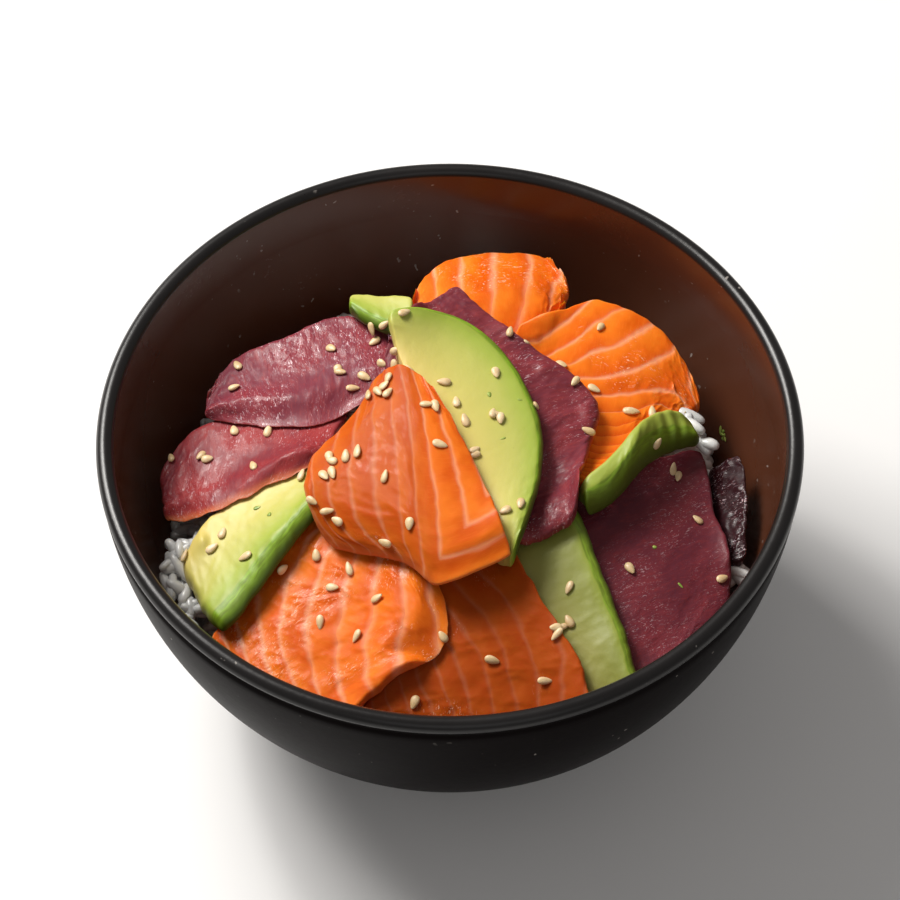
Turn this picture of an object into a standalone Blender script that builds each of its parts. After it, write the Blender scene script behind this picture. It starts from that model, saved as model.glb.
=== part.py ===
"""Sashimi donburi: a black bowl of rice under slices of salmon, tuna and avocado.

The frame's origin is at the middle of the foot's underside, with +Z up and -Y to the front.
Sizes are named in millimetres below and turned into metres when a mesh is made.
The bowl is a turned profile. The rice is a heap that fills it. Every slice is a loft between
edge curves, laid on whatever lies beneath it, from the rice upwards.
"""

import math
from dataclasses import dataclass

import bmesh
import bpy
import numpy as np

MM = 0.001

# ---- bowl -------------------------------------------------------------------------------
BOWL_HEIGHT = 80.0
BOWL_RADIUS = 80.0
WALL_CURVE_DEPTH = 91.0      # depth at which the outer wall's curve would close
SHOULDER_DEPTH = 66.0        # the outer wall turns under here
UNDER_TURN = (48.3, 6.7)     # corner that the turn under the bowl rounds off, as radius and height
FOOT_TOP_DEPTH = 75.0
FOOT_RADIUS = 37.5
FOOT_INNER_RADIUS = 33.0
FOOT_RECESS = 3.0            # height of the hollow inside the foot ring
LIP_RADIUS = 2.0             # rounding of the lip
INNER_RADIUS = 76.2
INNER_DEPTH = 71.0
INNER_POWER = 2.6
BOWL_STEPS = 56

# ---- rice -------------------------------------------------------------------------------
RICE_EDGE = 38.0             # height of the rice where it meets the wall
RICE_RISE = 24.0             # how much higher the middle of the heap stands
RICE_REACH = 66.0            # radius at which the heap comes down to its edge
RICE_POWER = 4.0
RICE_LEAN = 0.02             # the heap stands a little higher at the back
RICE_BUMP = 0.7
RICE_CLEAR = 0.6             # gap between the rice and the bowl's inside, upright
RICE_WALL_GAP = 1.0          # gap between the heap's edge and the wall
RICE_LOWER_RADII = (12.0, 25.0, 37.0, 47.0, 55.0, 60.5)
RICE_UPPER_RADII = (61.0, 56.0, 50.0, 43.0, 34.0, 23.0, 11.0)
RICE_STEPS = 40

# ---- slices -----------------------------------------------------------------------------
GAP = 0.45                   # clearance between pieces that touch
FIELD_STEP = 0.5             # grid step of the height field that the slices settle on
SLICE_LIMIT = 72.4           # no slice reaches further out than this radius
EDGE_THICKNESS = 0.62        # a cut edge's thickness against the slice's
EDGE_START = 0.99            # part of the way out past which a cell lies on the cut edge
STEEPEST = 1.9               # most that a slope thickens the upright cut through a slice
CELL_CROWDING = 0.85         # power under 1 that crowds a slice's cells towards its edges
SETTLE_ROUNDS = 60
SETTLE_STEP = 0.75
SALMON = 3.2
TUNA = 3.6
AVOCADO = 5.0
CELLS_ALONG = 10
CELLS_ACROSS = 7


@dataclass(frozen=True)
class Slice:
    """A slice of fish or avocado.

    rails: curves that run along it, from one edge to the other, each through a few places
    (x, y, z) on its upper face.
    thick: its thickness. air: the most that it may stand clear of what it lies on.
    corner: how far its corners are rounded off. arch: how far its middle rises. passes: how
    often its bends are evened out as it settles.
    """

    name: str
    finish: str
    rails: tuple
    thick: float
    air: float = 30.0
    corner: float = 0.07
    arch: float = 0.6
    passes: int = 4


SLICES = (
    Slice("tuna_edge", "tuna_dark", (
        ((68, 9, 58), (69, -6, 58), (67, -21, 57)),
        ((60.5, 8, 53), (61, -7, 53), (60.5, -21, 53))), 2.6, arch=0.0),
    Slice("tuna_right", "tuna_dark", (
        ((27, -9, 62), (29, -23, 63), (33, -40, 61), (40, -59, 58)),
        ((60.5, 14, 56), (61.5, -7, 57), (64, -26, 57), (55, -48, 58))), TUNA, arch=0.9),
    Slice("avocado_front", "avocado", (
        ((12, -20, 66), (18, -36, 65), (24, -48, 62), (30, -63, 58)),
        ((29, -14, 66), (34, -30, 65), (38.5, -44, 62), (42, -58, 59))), AVOCADO, passes=8),
    Slice("salmon_front_right", "salmon", (
        ((-12, -22, 67), (-14, -44, 63.5), (-22, -66, 55)),
        ((12, -22, 67), (19.5, -37, 67), (26.5, -49, 64), (33, -64, 59))), SALMON),
    Slice("salmon_front_left", "salmon", (
        ((-26, -10, 66), (-37, -20, 62.5), (-46, -29, 58), (-55.5, -40.5, 53)),
        ((-5, -24, 68), (-2, -37, 68), (-1, -49, 65), (-11, -56, 61.5), (-24, -66, 56))), SALMON),
    Slice("salmon_back", "salmon", (
        ((-10, 44, 68), (-4, 58, 67), (13, 65.5, 66), (23, 63.5, 65), (29.5, 57, 63)),
        ((-8, 28, 71), (4, 29, 70), (14, 32, 67.5), (22, 37, 64.5), (27, 46, 61.5))), SALMON, arch=1.4),
    Slice("salmon_right", "salmon", (
        ((15, 37, 66), (28, 45.5, 65.5), (34.5, 49.5, 65.5), (43, 48, 65), (54, 38, 62), (60, 23, 58)),
        ((16, 12, 66), (23, -1, 66), (33, -9, 62), (44, 3, 60), (54, 17, 58.5))), SALMON),
    Slice("avocado_right", "avocado", (
        ((28.5, -11, 68.5), (36, -4.5, 68.5), (44.5, 7.5, 67), (50, 13, 65), (57, 13.5, 61)),
        ((31, -18, 65), (37, -13, 65), (45, -2, 64), (52, 5, 62.5), (58.5, 9, 60))),
        6.0, arch=0.9, passes=8),
    Slice("avocado_left", "avocado", (
        ((-62, -22, 57), (-56, -12, 60), (-45, -5.5, 63.5), (-32, 2, 66.5)),
        ((-51, -43, 55), (-40.5, -30.5, 59.5), (-33, -20.5, 63), (-26, -11.5, 65.5))),
        5.6, arch=0.1, passes=8),
    Slice("tuna_left", "tuna", (
        ((-68, 4, 57), (-59, 14.5, 60.5), (-45, 18, 63), (-23, 16, 66.5)),
        ((-66, -9, 55), (-56, -11, 59), (-43, -7.5, 63), (-31, -4, 66))), 3.0),
    Slice("tuna_back_left", "tuna", (
        ((-58, 22, 61), (-51, 33, 63), (-38, 38, 66), (-26, 42, 68), (-13, 35, 70.5)),
        ((-57, 15, 60), (-45, 12, 63), (-33, 10, 65), (-24, 13, 68), (-11, 19, 71.5))), TUNA),
    Slice("avocado_back", "avocado", (
        ((-24, 46, 71), (-17, 44, 73), (-9, 42, 75)),
        ((-24, 40, 71), (-17, 34, 73), (-8, 30, 75))), 4.5),
    Slice("tuna_centre", "tuna", (
        ((-16, 28, 73), (-13, 10, 73), (-5, -4, 73), (4, -16, 71), (13, -27, 70)),
        ((2, 49, 70), (16, 32, 72), (34, 16, 69), (31, -2, 69), (29, -21, 68))), TUNA),
    Slice("avocado_top", "avocado", (
        ((-12, 20, 79), (-9, 11, 79), (-5, 1, 79), (2, -15, 78), (11, -31, 75)),
        ((-15, 31, 77), (2, 32, 77), (17, 16, 77), (21, -6, 76), (14, -33, 75))), AVOCADO, passes=8),
    Slice("salmon_top", "salmon", (
        ((-18.5, 10, 76.5), (-24, 5, 73), (-32, -5, 69), (-32, -16.5, 68), (-26, -25.5, 67)),
        ((-17, 14.5, 79.5), (-20, 4, 80), (-25, -10, 76), (-25, -21, 73), (-18, -28.5, 68.5)),
        ((-12.5, 16, 81.5), (-13, 3, 82.5), (-14, -14, 80.5), (-13, -25.5, 77), (-9, -33, 72)),
        ((-7.5, 13, 82), (-6, 3, 83), (-5, -14, 83), (-3, -28, 80), (-2, -39.5, 75.5)),
        ((-3.5, 8.5, 81), (0, 1.5, 81), (4, -7, 80), (9, -20, 79), (14, -34, 77))),
        SALMON, arch=0.0, corner=0.03),
)

# ---- finishes: base colour (linear), roughness -------------------------------------------
FINISHES = {
    "bowl_black": ((0.012, 0.010, 0.010), 0.38),
    "rice_white": ((0.78, 0.76, 0.72), 0.45),
    "salmon": ((0.84, 0.14, 0.01), 0.25),
    "tuna": ((0.26, 0.03, 0.04), 0.28),
    "tuna_dark": ((0.12, 0.015, 0.025), 0.28),
    "avocado": ((0.50, 0.55, 0.12), 0.40),
}


def inner_radius(height):
    """Radius of the bowl's inside at a height above its foot."""
    depth = np.clip((BOWL_HEIGHT - np.asarray(height, float)) / INNER_DEPTH, 0.0, 1.0)
    return INNER_RADIUS * np.sqrt(1.0 - depth ** INNER_POWER)


def inner_height(radius):
    """Height of the bowl's inside at a radius: the curve of inner_radius, turned round."""
    part = np.clip(np.asarray(radius, float) / INNER_RADIUS, 0.0, 1.0)
    return BOWL_HEIGHT - INNER_DEPTH * (1.0 - part ** 2) ** (1.0 / INNER_POWER)


def rice_height(x, y):
    """Height of the heap of rice: a flat-topped mound with long soft bumps."""
    part = np.clip(np.hypot(x, y) / RICE_REACH, 0.0, 1.0)
    mound = RICE_EDGE + RICE_RISE * (1.0 - part ** RICE_POWER)
    bumps = np.sin(x * 0.31 + 0.7) * np.cos(y * 0.27 - 0.4) + 0.6 * np.sin(0.19 * x - 0.35 * y + 1.9)
    return mound + RICE_LEAN * y + RICE_BUMP * bumps


def spline(points, t):
    """A natural cubic spline through points, read at t from 0 to 1 along its chord length."""
    p = np.asarray(points, float)
    knots = np.concatenate([[0.0], np.cumsum(np.linalg.norm(np.diff(p, axis=0), axis=1))])
    knots /= knots[-1]
    n = len(p)
    step = np.diff(knots)
    system = np.eye(n)
    right = np.zeros_like(p)
    for i in range(1, n - 1):
        system[i, i - 1:i + 2] = (step[i - 1], 2 * (step[i - 1] + step[i]), step[i])
        right[i] = 6 * ((p[i + 1] - p[i]) / step[i] - (p[i] - p[i - 1]) / step[i - 1])
    bend = np.linalg.solve(system, right)
    t = np.clip(np.asarray(t, float), 0.0, 1.0)
    k = np.clip(np.searchsorted(knots, t, side="right") - 1, 0, n - 2)
    h = step[k][..., None]
    a = ((knots[k + 1] - t)[..., None]) / h
    b = 1.0 - a
    return a * p[k] + b * p[k + 1] + ((a ** 3 - a) * bend[k] + (b ** 3 - b) * bend[k + 1]) * h * h / 6.0


def loft(rails, along, across):
    """Places on the surface through the rails, at along and across from -1 to 1 (equal shapes)."""
    on_rails = np.stack([spline(rail, (along + 1.0) / 2.0) for rail in rails])
    k = len(rails)
    where = (across + 1.0) / 2.0 * (k - 1)
    if k == 2:
        share = where[..., None]
        return on_rails[0] * (1 - share) + on_rails[1] * share
    i = np.clip(np.floor(where).astype(int), 0, k - 2)
    f = (where - i)[..., None]
    rows = np.arange(along.size).reshape(along.shape)
    flat = on_rails.reshape(k, -1, 3)

    def rail(j):
        """The places on rail number j."""
        return flat[np.clip(j, 0, k - 1), rows]

    p0, p1, p2, p3 = rail(i - 1), rail(i), rail(i + 1), rail(i + 2)
    return 0.5 * (2 * p1 + (p2 - p0) * f + (2 * p0 - 5 * p1 + 4 * p2 - p3) * f ** 2
                  + (3 * p1 - p0 - 3 * p2 + p3) * f ** 3)


class HeightField:
    """How high the contents of the bowl stand at each place on a square grid."""

    def __init__(self):
        """Starts with the rice and the bowl's inside."""
        self.count = int(2 * BOWL_RADIUS / FIELD_STEP) + 1
        line = np.linspace(-BOWL_RADIUS, BOWL_RADIUS, self.count)
        x, y = np.meshgrid(line, line, indexing="ij")
        radius = np.hypot(x, y)
        inside = inner_height(radius)
        self.z = np.where(radius < RICE_REACH, np.maximum(inside, rice_height(x, y)), inside)

    def index(self, value):
        """Row or column of a coordinate."""
        return np.clip(np.rint((value + BOWL_RADIUS) / FIELD_STEP).astype(int), 0, self.count - 1)

    def raised(self):
        """The field with every place as high as the highest of its neighbours."""
        pad = np.pad(self.z, 1, mode="edge")
        n = self.count
        return np.max([pad[i:i + n, j:j + n] for i in range(3) for j in range(3)], axis=0)

    def add(self, places):
        """Raises the field to the places given."""
        rows = self.index(places[..., 0])
        columns = self.index(places[..., 1])
        np.maximum.at(self.z, (rows, columns), places[..., 2])


def level_slope(top, axis):
    """How steeply a grid of places rises along one of its axes."""
    rise = np.gradient(top[..., 2], axis=axis)
    run = np.linalg.norm(np.gradient(top[..., :2], axis=axis), axis=-1)
    return rise / (run + 1e-6)


def triangle_samples(grid, count=14):
    """Places spread over the two triangles of each cell of a grid of vertices."""
    line = np.linspace(0, 1, count)
    s = np.repeat(line, count)[:, None]
    t = np.tile(line, count)[:, None]
    a, b, c, d = grid[:-1, :-1, None], grid[1:, :-1, None], grid[1:, 1:, None], grid[:-1, 1:, None]
    near = a + s * (b - a) + t * (d - a)
    far = c + (1 - s) * (d - c) + (1 - t) * (b - c)
    return np.where(s + t <= 1.0, near, far)


class SliceShape:
    """The settled upper and lower faces of one slice, as grids of places."""

    def __init__(self, spec, field):
        """Lofts the slice, settles it on the field and adds it to the field."""
        cells_along = np.linspace(-1, 1, CELLS_ALONG + 1)
        cells_across = np.linspace(-1, 1, CELLS_ACROSS + 1)
        a, b = np.meshgrid(cells_along, cells_across, indexing="ij")
        a = np.sign(a) * np.abs(a) ** CELL_CROWDING
        b = np.sign(b) * np.abs(b) ** CELL_CROWDING
        along = a * (1.0 - spec.corner * b ** 8)
        across = b * (1.0 - spec.corner * a ** 8)
        top = loft(spec.rails, along, across)
        top[..., 2] += spec.arch * (1.0 - across ** 2)
        edge = np.maximum(np.abs(a), np.abs(b))
        slopes = 1.0 + level_slope(top, 0) ** 2 + level_slope(top, 1) ** 2
        steep = np.clip(np.sqrt(slopes), 1.0, STEEPEST)
        thick = spec.thick * steep * np.where(edge > EDGE_START, EDGE_THICKNESS, 1.0)
        low = top.copy()
        low[..., 2] -= thick
        self.low = self.settle(low, spec, field)
        self.top = self.low.copy()
        self.top[..., 2] += thick
        field.add(triangle_samples(self.top))

    @staticmethod
    def settle(low, spec, field):
        """Lowers the slice on to what is beneath it, then lifts it clear wherever it would cut in."""
        radius = np.hypot(low[..., 0], low[..., 1])
        pull = np.where(radius > SLICE_LIMIT, SLICE_LIMIT / np.maximum(radius, 1e-6), 1.0)
        low[..., 0] *= pull
        low[..., 1] *= pull
        ground = field.raised()
        under = ground[field.index(low[..., 0]), field.index(low[..., 1])] + GAP
        air = low[..., 2] - under
        held = np.where(air > 0, spec.air * np.tanh(air / spec.air), air)
        low[..., 2] = under + np.maximum(held, 0.0)
        for _ in range(spec.passes):
            z = low[..., 2]
            pad = np.pad(z, 1, mode="reflect", reflect_type="odd")
            mean = (pad[:-2, 1:-1] + pad[2:, 1:-1] + pad[1:-1, :-2] + pad[1:-1, 2:]) / 4.0
            low[..., 2] = np.maximum(0.5 * z + 0.5 * mean, under)
        for _ in range(SETTLE_ROUNDS):
            spread = triangle_samples(low)
            beneath = ground[field.index(spread[..., 0]), field.index(spread[..., 1])]
            clear = spread[..., 2] - beneath - GAP
            short = np.maximum(0.0, -clear.min(axis=2))
            if short.max() < 1e-3:
                break
            lift = np.zeros(low.shape[:2])
            for i in (0, 1):
                for j in (0, 1):
                    part = lift[i:i + short.shape[0], j:j + short.shape[1]]
                    np.maximum(part, short, out=part)
            low[..., 2] += SETTLE_STEP * lift
        return low

    def mesh(self, name):
        """A closed mesh: the two faces joined by a band round the edge."""
        n, m = self.top.shape[:2]
        book = bmesh.new()
        upper = [[book.verts.new(self.top[i, j] * MM) for j in range(m)] for i in range(n)]
        lower = [[book.verts.new(self.low[i, j] * MM) for j in range(m)] for i in range(n)]
        for grid in (upper, lower):
            for i in range(n - 1):
                for j in range(m - 1):
                    a, b, c, d = grid[i][j], grid[i + 1][j], grid[i + 1][j + 1], grid[i][j + 1]
                    book.faces.new((a, b, d))
                    book.faces.new((b, c, d))
        ring = [(i, 0) for i in range(n)] + [(n - 1, j) for j in range(1, m)]
        ring += [(i, m - 1) for i in range(n - 2, -1, -1)] + [(0, j) for j in range(m - 2, 0, -1)]
        for (i, j), (k, l) in zip(ring, ring[1:] + ring[:1]):
            book.faces.new((upper[i][j], upper[k][l], lower[k][l], lower[i][j]))
        bmesh.ops.recalc_face_normals(book, faces=book.faces)
        data = bpy.data.meshes.new(name)
        book.to_mesh(data)
        book.free()
        return data


def outer_profile():
    """The bowl's outer half profile from the lip's crest down to the foot, as (radius, height)."""
    points = []
    for angle in np.linspace(0, math.pi / 2, 4):
        radius = BOWL_RADIUS - LIP_RADIUS * (1.0 - math.sin(angle))
        height = BOWL_HEIGHT - LIP_RADIUS * (1.0 - math.cos(angle))
        points.append((radius, height))
    for depth in np.linspace(6.0, SHOULDER_DEPTH, 8):
        radius = (BOWL_RADIUS - 0.1) * math.sqrt(1 - (depth / WALL_CURVE_DEPTH) ** 2)
        points.append((radius, BOWL_HEIGHT - depth))
    start = np.array(points[-1])
    corner = np.array(UNDER_TURN)
    end = np.array((FOOT_RADIUS + 0.7, BOWL_HEIGHT - FOOT_TOP_DEPTH))
    for t in (0.25, 0.5, 0.75, 1.0):
        points.append(tuple((1 - t) ** 2 * start + 2 * t * (1 - t) * corner + t * t * end))
    points.append((FOOT_RADIUS, 0.6))
    points.append((FOOT_RADIUS - 0.6, 0.0))
    points.append((FOOT_INNER_RADIUS, 0.0))
    points.append((FOOT_INNER_RADIUS - 1.0, FOOT_RECESS))
    points.append((0.0, FOOT_RECESS))
    return points


def inner_profile():
    """The bowl's inner half profile from the middle of its floor up to the lip."""
    radii = [0.0, 14.0, 28.0, 40.0, 50.0, 58.0, 64.0, 69.0, 72.5, 75.0]
    points = [(r, float(inner_height(r))) for r in radii]
    points.append((INNER_RADIUS, BOWL_HEIGHT - 3.0))
    points.append((INNER_RADIUS + 0.7, BOWL_HEIGHT - 1.0))
    return points


def finish(name):
    """The material of a name in FINISHES, made when first asked for."""
    colour, roughness = FINISHES[name]
    found = bpy.data.materials.get(name)
    if found:
        return found
    material = bpy.data.materials.new(name)
    material.use_nodes = True
    shader = material.node_tree.nodes["Principled BSDF"]
    shader.inputs["Base Color"].default_value = (*colour, 1.0)
    shader.inputs["Roughness"].default_value = roughness
    shader.inputs["Metallic"].default_value = 0.0
    return material


def place(name, data, material, collection):
    """Makes an object of a mesh, in its finish."""
    piece = bpy.data.objects.new(name, data)
    data.materials.append(finish(material))
    collection.objects.link(piece)
    return piece


def make_bowl(collection):
    """Turns the closed profile, from the inside's middle over the lip to the foot, about Z."""
    profile = inner_profile() + outer_profile()
    data = bpy.data.meshes.new("bowl")
    places = [(r * MM, 0.0, z * MM) for r, z in profile]
    edges = [(i, i + 1) for i in range(len(profile) - 1)]
    data.from_pydata(places, edges, [])
    bowl = place("bowl", data, "bowl_black", collection)
    turn = bowl.modifiers.new("turn", "SCREW")
    turn.axis = "Z"
    turn.angle = 2 * math.pi
    turn.steps = BOWL_STEPS
    turn.render_steps = BOWL_STEPS
    turn.use_merge_vertices = True
    turn.merge_threshold = 0.0001
    turn.use_smooth_shade = True


def rice_rings():
    """The heap's rings from the bottom to near its crown, each a list of (radius, height)."""
    turns = [2 * math.pi * k / RICE_STEPS for k in range(RICE_STEPS)]
    rings = []
    for r in RICE_LOWER_RADII:
        rings.append([(r, float(inner_height(r)) + RICE_CLEAR)] * RICE_STEPS)
    edge = []
    for angle in turns:
        z = float(rice_height(RICE_REACH * math.cos(angle), RICE_REACH * math.sin(angle)))
        edge.append((float(inner_radius(z)) - RICE_WALL_GAP, z))
    rings.append(edge)
    for r in RICE_UPPER_RADII:
        rings.append([(r, float(rice_height(r * math.cos(angle), r * math.sin(angle)))) for angle in turns])
    return rings


def make_rice(collection):
    """The heap: rings that follow the bowl's inside, then rings over the mound."""
    book = bmesh.new()
    rows = []
    for ring in rice_rings():
        row = []
        for k, (r, z) in enumerate(ring):
            angle = 2 * math.pi * k / RICE_STEPS
            row.append(book.verts.new((r * math.cos(angle) * MM, r * math.sin(angle) * MM, z * MM)))
        rows.append(row)
    bottom = book.verts.new((0, 0, (float(inner_height(0.0)) + RICE_CLEAR) * MM))
    top = book.verts.new((0, 0, float(rice_height(0.0, 0.0)) * MM))
    for k in range(RICE_STEPS):
        n = (k + 1) % RICE_STEPS
        book.faces.new((bottom, rows[0][n], rows[0][k]))
        book.faces.new((top, rows[-1][k], rows[-1][n]))
        for low, high in zip(rows, rows[1:]):
            book.faces.new((low[k], low[n], high[n], high[k]))
    bmesh.ops.recalc_face_normals(book, faces=book.faces)
    data = bpy.data.meshes.new("rice")
    book.to_mesh(data)
    book.free()
    place("rice", data, "rice_white", collection)


def main():
    """Clears the scene and builds the bowl, the rice and every slice, from the bottom up."""
    for old in list(bpy.data.objects):
        bpy.data.objects.remove(old)
    collection = bpy.data.collections.new("sashimi_donburi")
    bpy.context.scene.collection.children.link(collection)
    make_bowl(collection)
    make_rice(collection)
    field = HeightField()
    for spec in SLICES:
        shape = SliceShape(spec, field)
        place(spec.name, shape.mesh(spec.name), spec.finish, collection)


main()
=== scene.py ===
"""Looks of a sashimi donburi: a black bowl of rice under slices of salmon, tuna and avocado.

Shapes are worked out in millimetres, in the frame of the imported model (origin under the middle
of the foot, +Z up, -Y to the front), and turned into metres when a mesh is made. Each slice is
a surface lofted between edge curves, settled on what lies beneath it, and given a thickness
with rounded cut edges.
"""

from __future__ import annotations

import logging
import math
from dataclasses import dataclass
from enum import Enum
from typing import Any, Sequence

import bpy
import numpy as np
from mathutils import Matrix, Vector


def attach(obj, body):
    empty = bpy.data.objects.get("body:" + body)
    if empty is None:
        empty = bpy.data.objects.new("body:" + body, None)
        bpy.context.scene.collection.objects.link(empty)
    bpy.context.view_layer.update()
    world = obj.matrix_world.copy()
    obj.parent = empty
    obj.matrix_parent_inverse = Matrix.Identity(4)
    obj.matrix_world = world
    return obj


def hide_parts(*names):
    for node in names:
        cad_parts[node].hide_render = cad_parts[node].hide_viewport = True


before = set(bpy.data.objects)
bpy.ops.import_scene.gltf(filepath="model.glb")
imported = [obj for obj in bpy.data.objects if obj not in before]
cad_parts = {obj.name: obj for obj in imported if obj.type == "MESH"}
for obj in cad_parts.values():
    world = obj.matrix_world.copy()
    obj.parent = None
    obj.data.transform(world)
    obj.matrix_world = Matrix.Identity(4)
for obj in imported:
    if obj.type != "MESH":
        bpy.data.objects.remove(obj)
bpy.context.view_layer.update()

LOG = logging.getLogger("donburi")
MM = 0.001

# The bowl's outer size, and the curve of its inside.
BOWL_HEIGHT = 80.0
BOWL_RADIUS = 80.0
BORE_RADIUS = 76.2
BORE_DEPTH = 71.0
BORE_POWER = 2.6

# The rice's radius, its height at the edge and how much higher it is in the middle.
RICE_REACH = 66.0
RICE_EDGE = 38.0
RICE_RISE = 24.0

Array = np.ndarray
Colour = tuple[float, float, float]
Place = tuple[float, float, float]
Rail = tuple[Place, ...]
Terms = tuple[tuple[int, int, float], ...]
Solid = tuple[Array, Array, Array]


# ---------------------------------------------------------------------------------------
# Shader expressions
# ---------------------------------------------------------------------------------------


class Wire:
    """A number that varies over a surface: a node's output that Python operators work on."""

    def __init__(self, shader: Shader, socket: bpy.types.NodeSocket) -> None:
        """Keeps the shader that owns the node, and the output socket."""
        self.shader = shader
        self.socket = socket

    def __add__(self, other: Wire | float) -> Wire:
        """Sum of the two."""
        return self.shader.math("ADD", self, other)

    __radd__ = __add__

    def __sub__(self, other: Wire | float) -> Wire:
        """This less the other."""
        return self.shader.math("SUBTRACT", self, other)

    def __rsub__(self, other: float) -> Wire:
        """The other less this."""
        return self.shader.math("SUBTRACT", other, self)

    def __mul__(self, other: Wire | float) -> Wire:
        """Product of the two."""
        return self.shader.math("MULTIPLY", self, other)

    __rmul__ = __mul__

    def __truediv__(self, other: Wire | float) -> Wire:
        """This over the other."""
        return self.shader.math("DIVIDE", self, other)

    def __pow__(self, other: float) -> Wire:
        """This to a power."""
        return self.shader.math("POWER", self, other)

    def size(self) -> Wire:
        """This without its sign."""
        return self.shader.math("ABSOLUTE", self)

    def rounded(self) -> Wire:
        """The whole number nearest to this."""
        return self.shader.math("ROUND", self)

    def fraction(self) -> Wire:
        """How far this is above the whole number below it."""
        return self.shader.math("FRACT", self)

    def clip(self) -> Wire:
        """This held between 0 and 1."""
        return self.shader.ramp_between(self, 0.0, 1.0, smooth=False)

    def step(self, low: float, high: float) -> Wire:
        """A smooth rise from 0 at low to 1 at high, or a fall where low is the larger."""
        return self.shader.ramp_between(self, low, high)


class Shader:
    """Builds one material out of expressions, around one Principled surface."""

    def __init__(self, name: str) -> None:
        """Starts an empty node material.

        Args:
            name: The material's name.
        """
        self.material = bpy.data.materials.new(name)
        self.material.use_nodes = True
        self.tree = self.material.node_tree
        self.tree.nodes.clear()
        self.surface = self.tree.nodes.new("ShaderNodeBsdfPrincipled")
        output = self.tree.nodes.new("ShaderNodeOutputMaterial")
        self.tree.links.new(self.surface.outputs[0], output.inputs[0])

    def node(self, kind: str, settings: dict[str, Any] | None = None,
             inputs: dict[Any, Any] | None = None) -> bpy.types.Node:
        """Adds a node, sets its properties, then its sockets.

        Args:
            kind: The node's type, without the ShaderNode prefix.
            settings: Its properties, such as an operation. "stops" fills a colour ramp.
            inputs: Values, Wires or sockets for its inputs, by name or index.

        Returns:
            The new node.
        """
        made = self.tree.nodes.new("ShaderNode" + kind)
        for key, value in (settings or {}).items():
            if key == "stops":
                self._fill_ramp(made.color_ramp, value)
            else:
                setattr(made, key, value)
        for key, value in (inputs or {}).items():
            self.feed(made.inputs[key], value)
        return made

    @staticmethod
    def _fill_ramp(ramp: bpy.types.ColorRamp, stops: Sequence[tuple[float, tuple]]) -> None:
        """Gives a ramp its stops.

        Args:
            ramp: The ramp.
            stops: A place and a colour for each.
        """
        while len(ramp.elements) < len(stops):
            ramp.elements.new(0.5)
        for element, (place, colour) in zip(ramp.elements, stops):
            element.position = place
            element.color = (*colour, 1.0)

    def feed(self, socket: bpy.types.NodeSocket, value: Any) -> None:
        """Links a Wire or a socket to an input, or sets its plain value.

        Args:
            socket: The input.
            value: What it gets; three numbers for a colour are given a fourth.
        """
        if isinstance(value, Wire):
            self.tree.links.new(value.socket, socket)
        elif isinstance(value, bpy.types.NodeSocket):
            self.tree.links.new(value, socket)
        elif isinstance(value, tuple) and len(value) == 3 and socket.type == "RGBA":
            socket.default_value = (*value, 1.0)
        else:
            socket.default_value = value

    def math(self, operation: str, a: Wire | float, b: Wire | float = 0.0) -> Wire:
        """One Math node on two values."""
        return Wire(self, self.node("Math", {"operation": operation}, {0: a, 1: b}).outputs[0])

    def ramp_between(self, value: Wire, low: float, high: float, smooth: bool = True) -> Wire:
        """Rises from 0 to 1 as value goes from low to high, or falls where low is the larger.

        Args:
            value: What is read.
            low: Where it starts to rise.
            high: Where it ends.
            smooth: Whether it eases in and out.

        Returns:
            The ramp's value, held between 0 and 1.
        """
        kind = "SMOOTHSTEP" if smooth else "LINEAR"
        ends = {1: low, 2: high} if low <= high else {1: high, 2: low, 3: 1.0, 4: 0.0}
        return Wire(self, self.node("MapRange", {"interpolation_type": kind}, {0: value, **ends}).outputs[0])

    def attribute(self, name: str) -> Wire:
        """A number stored on the mesh's points."""
        return Wire(self, self.node("Attribute", {"attribute_name": name}).outputs["Fac"])

    def place(self) -> bpy.types.NodeSocket:
        """Object coordinates, in metres."""
        return self.node("TexCoord").outputs["Object"]

    def cloth(self, scale: tuple[float, float, float] = (1.0, 1.0, 1.0)) -> bpy.types.NodeSocket:
        """The piece's own surface coordinates, in decimetres along and across it, times scale."""
        source = self.node("UVMap", {"uv_map": "surface"}).outputs[0]
        return self.node("Mapping", None, {"Vector": source, "Scale": scale}).outputs[0]

    def noise(self, where: bpy.types.NodeSocket, scale: float, detail: float = 3.0, rough: float = 0.55,
              warp: float = 0.0) -> Wire:
        """Soft noise from 0 to 1, about 0.5."""
        inputs = {"Vector": where, "Scale": scale, "Detail": detail, "Roughness": rough, "Distortion": warp}
        return Wire(self, self.node("TexNoise", None, inputs).outputs[0])

    def blend(self, share: Wire | float, first: Any, second: Any) -> bpy.types.NodeSocket:
        """Mixes two colours by share; the Mix node's colour inputs are numbers 6 and 7."""
        return self.node("Mix", {"data_type": "RGBA"}, {0: share, 6: first, 7: second}).outputs[2]

    def colours(self, value: Wire, stops: Sequence[tuple[float, tuple]]) -> bpy.types.NodeSocket:
        """A colour ramp read at value."""
        return self.node("ValToRGB", {"stops": stops}, {0: value}).outputs[0]

    def bump(self, height: Wire, distance: float, strength: float = 1.0) -> None:
        """Feeds a height, in units of distance, to the surface's normal."""
        made = self.node("Bump", None, {"Height": height, "Distance": distance, "Strength": strength})
        self.feed(self.surface.inputs["Normal"], made.outputs[0])

    def set(self, **values: Any) -> None:
        """Sets or links inputs of the Principled surface; an underscore stands for a space."""
        for key, value in values.items():
            self.feed(self.surface.inputs[key.replace("_", " ")], value)


# ---------------------------------------------------------------------------------------
# Finishes
# ---------------------------------------------------------------------------------------


class BowlPart(Enum):
    """The parts of the bowl that are finished apart, by the number their faces carry."""

    OUTSIDE = 0
    INSIDE = 1
    LIP = 2


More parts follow.
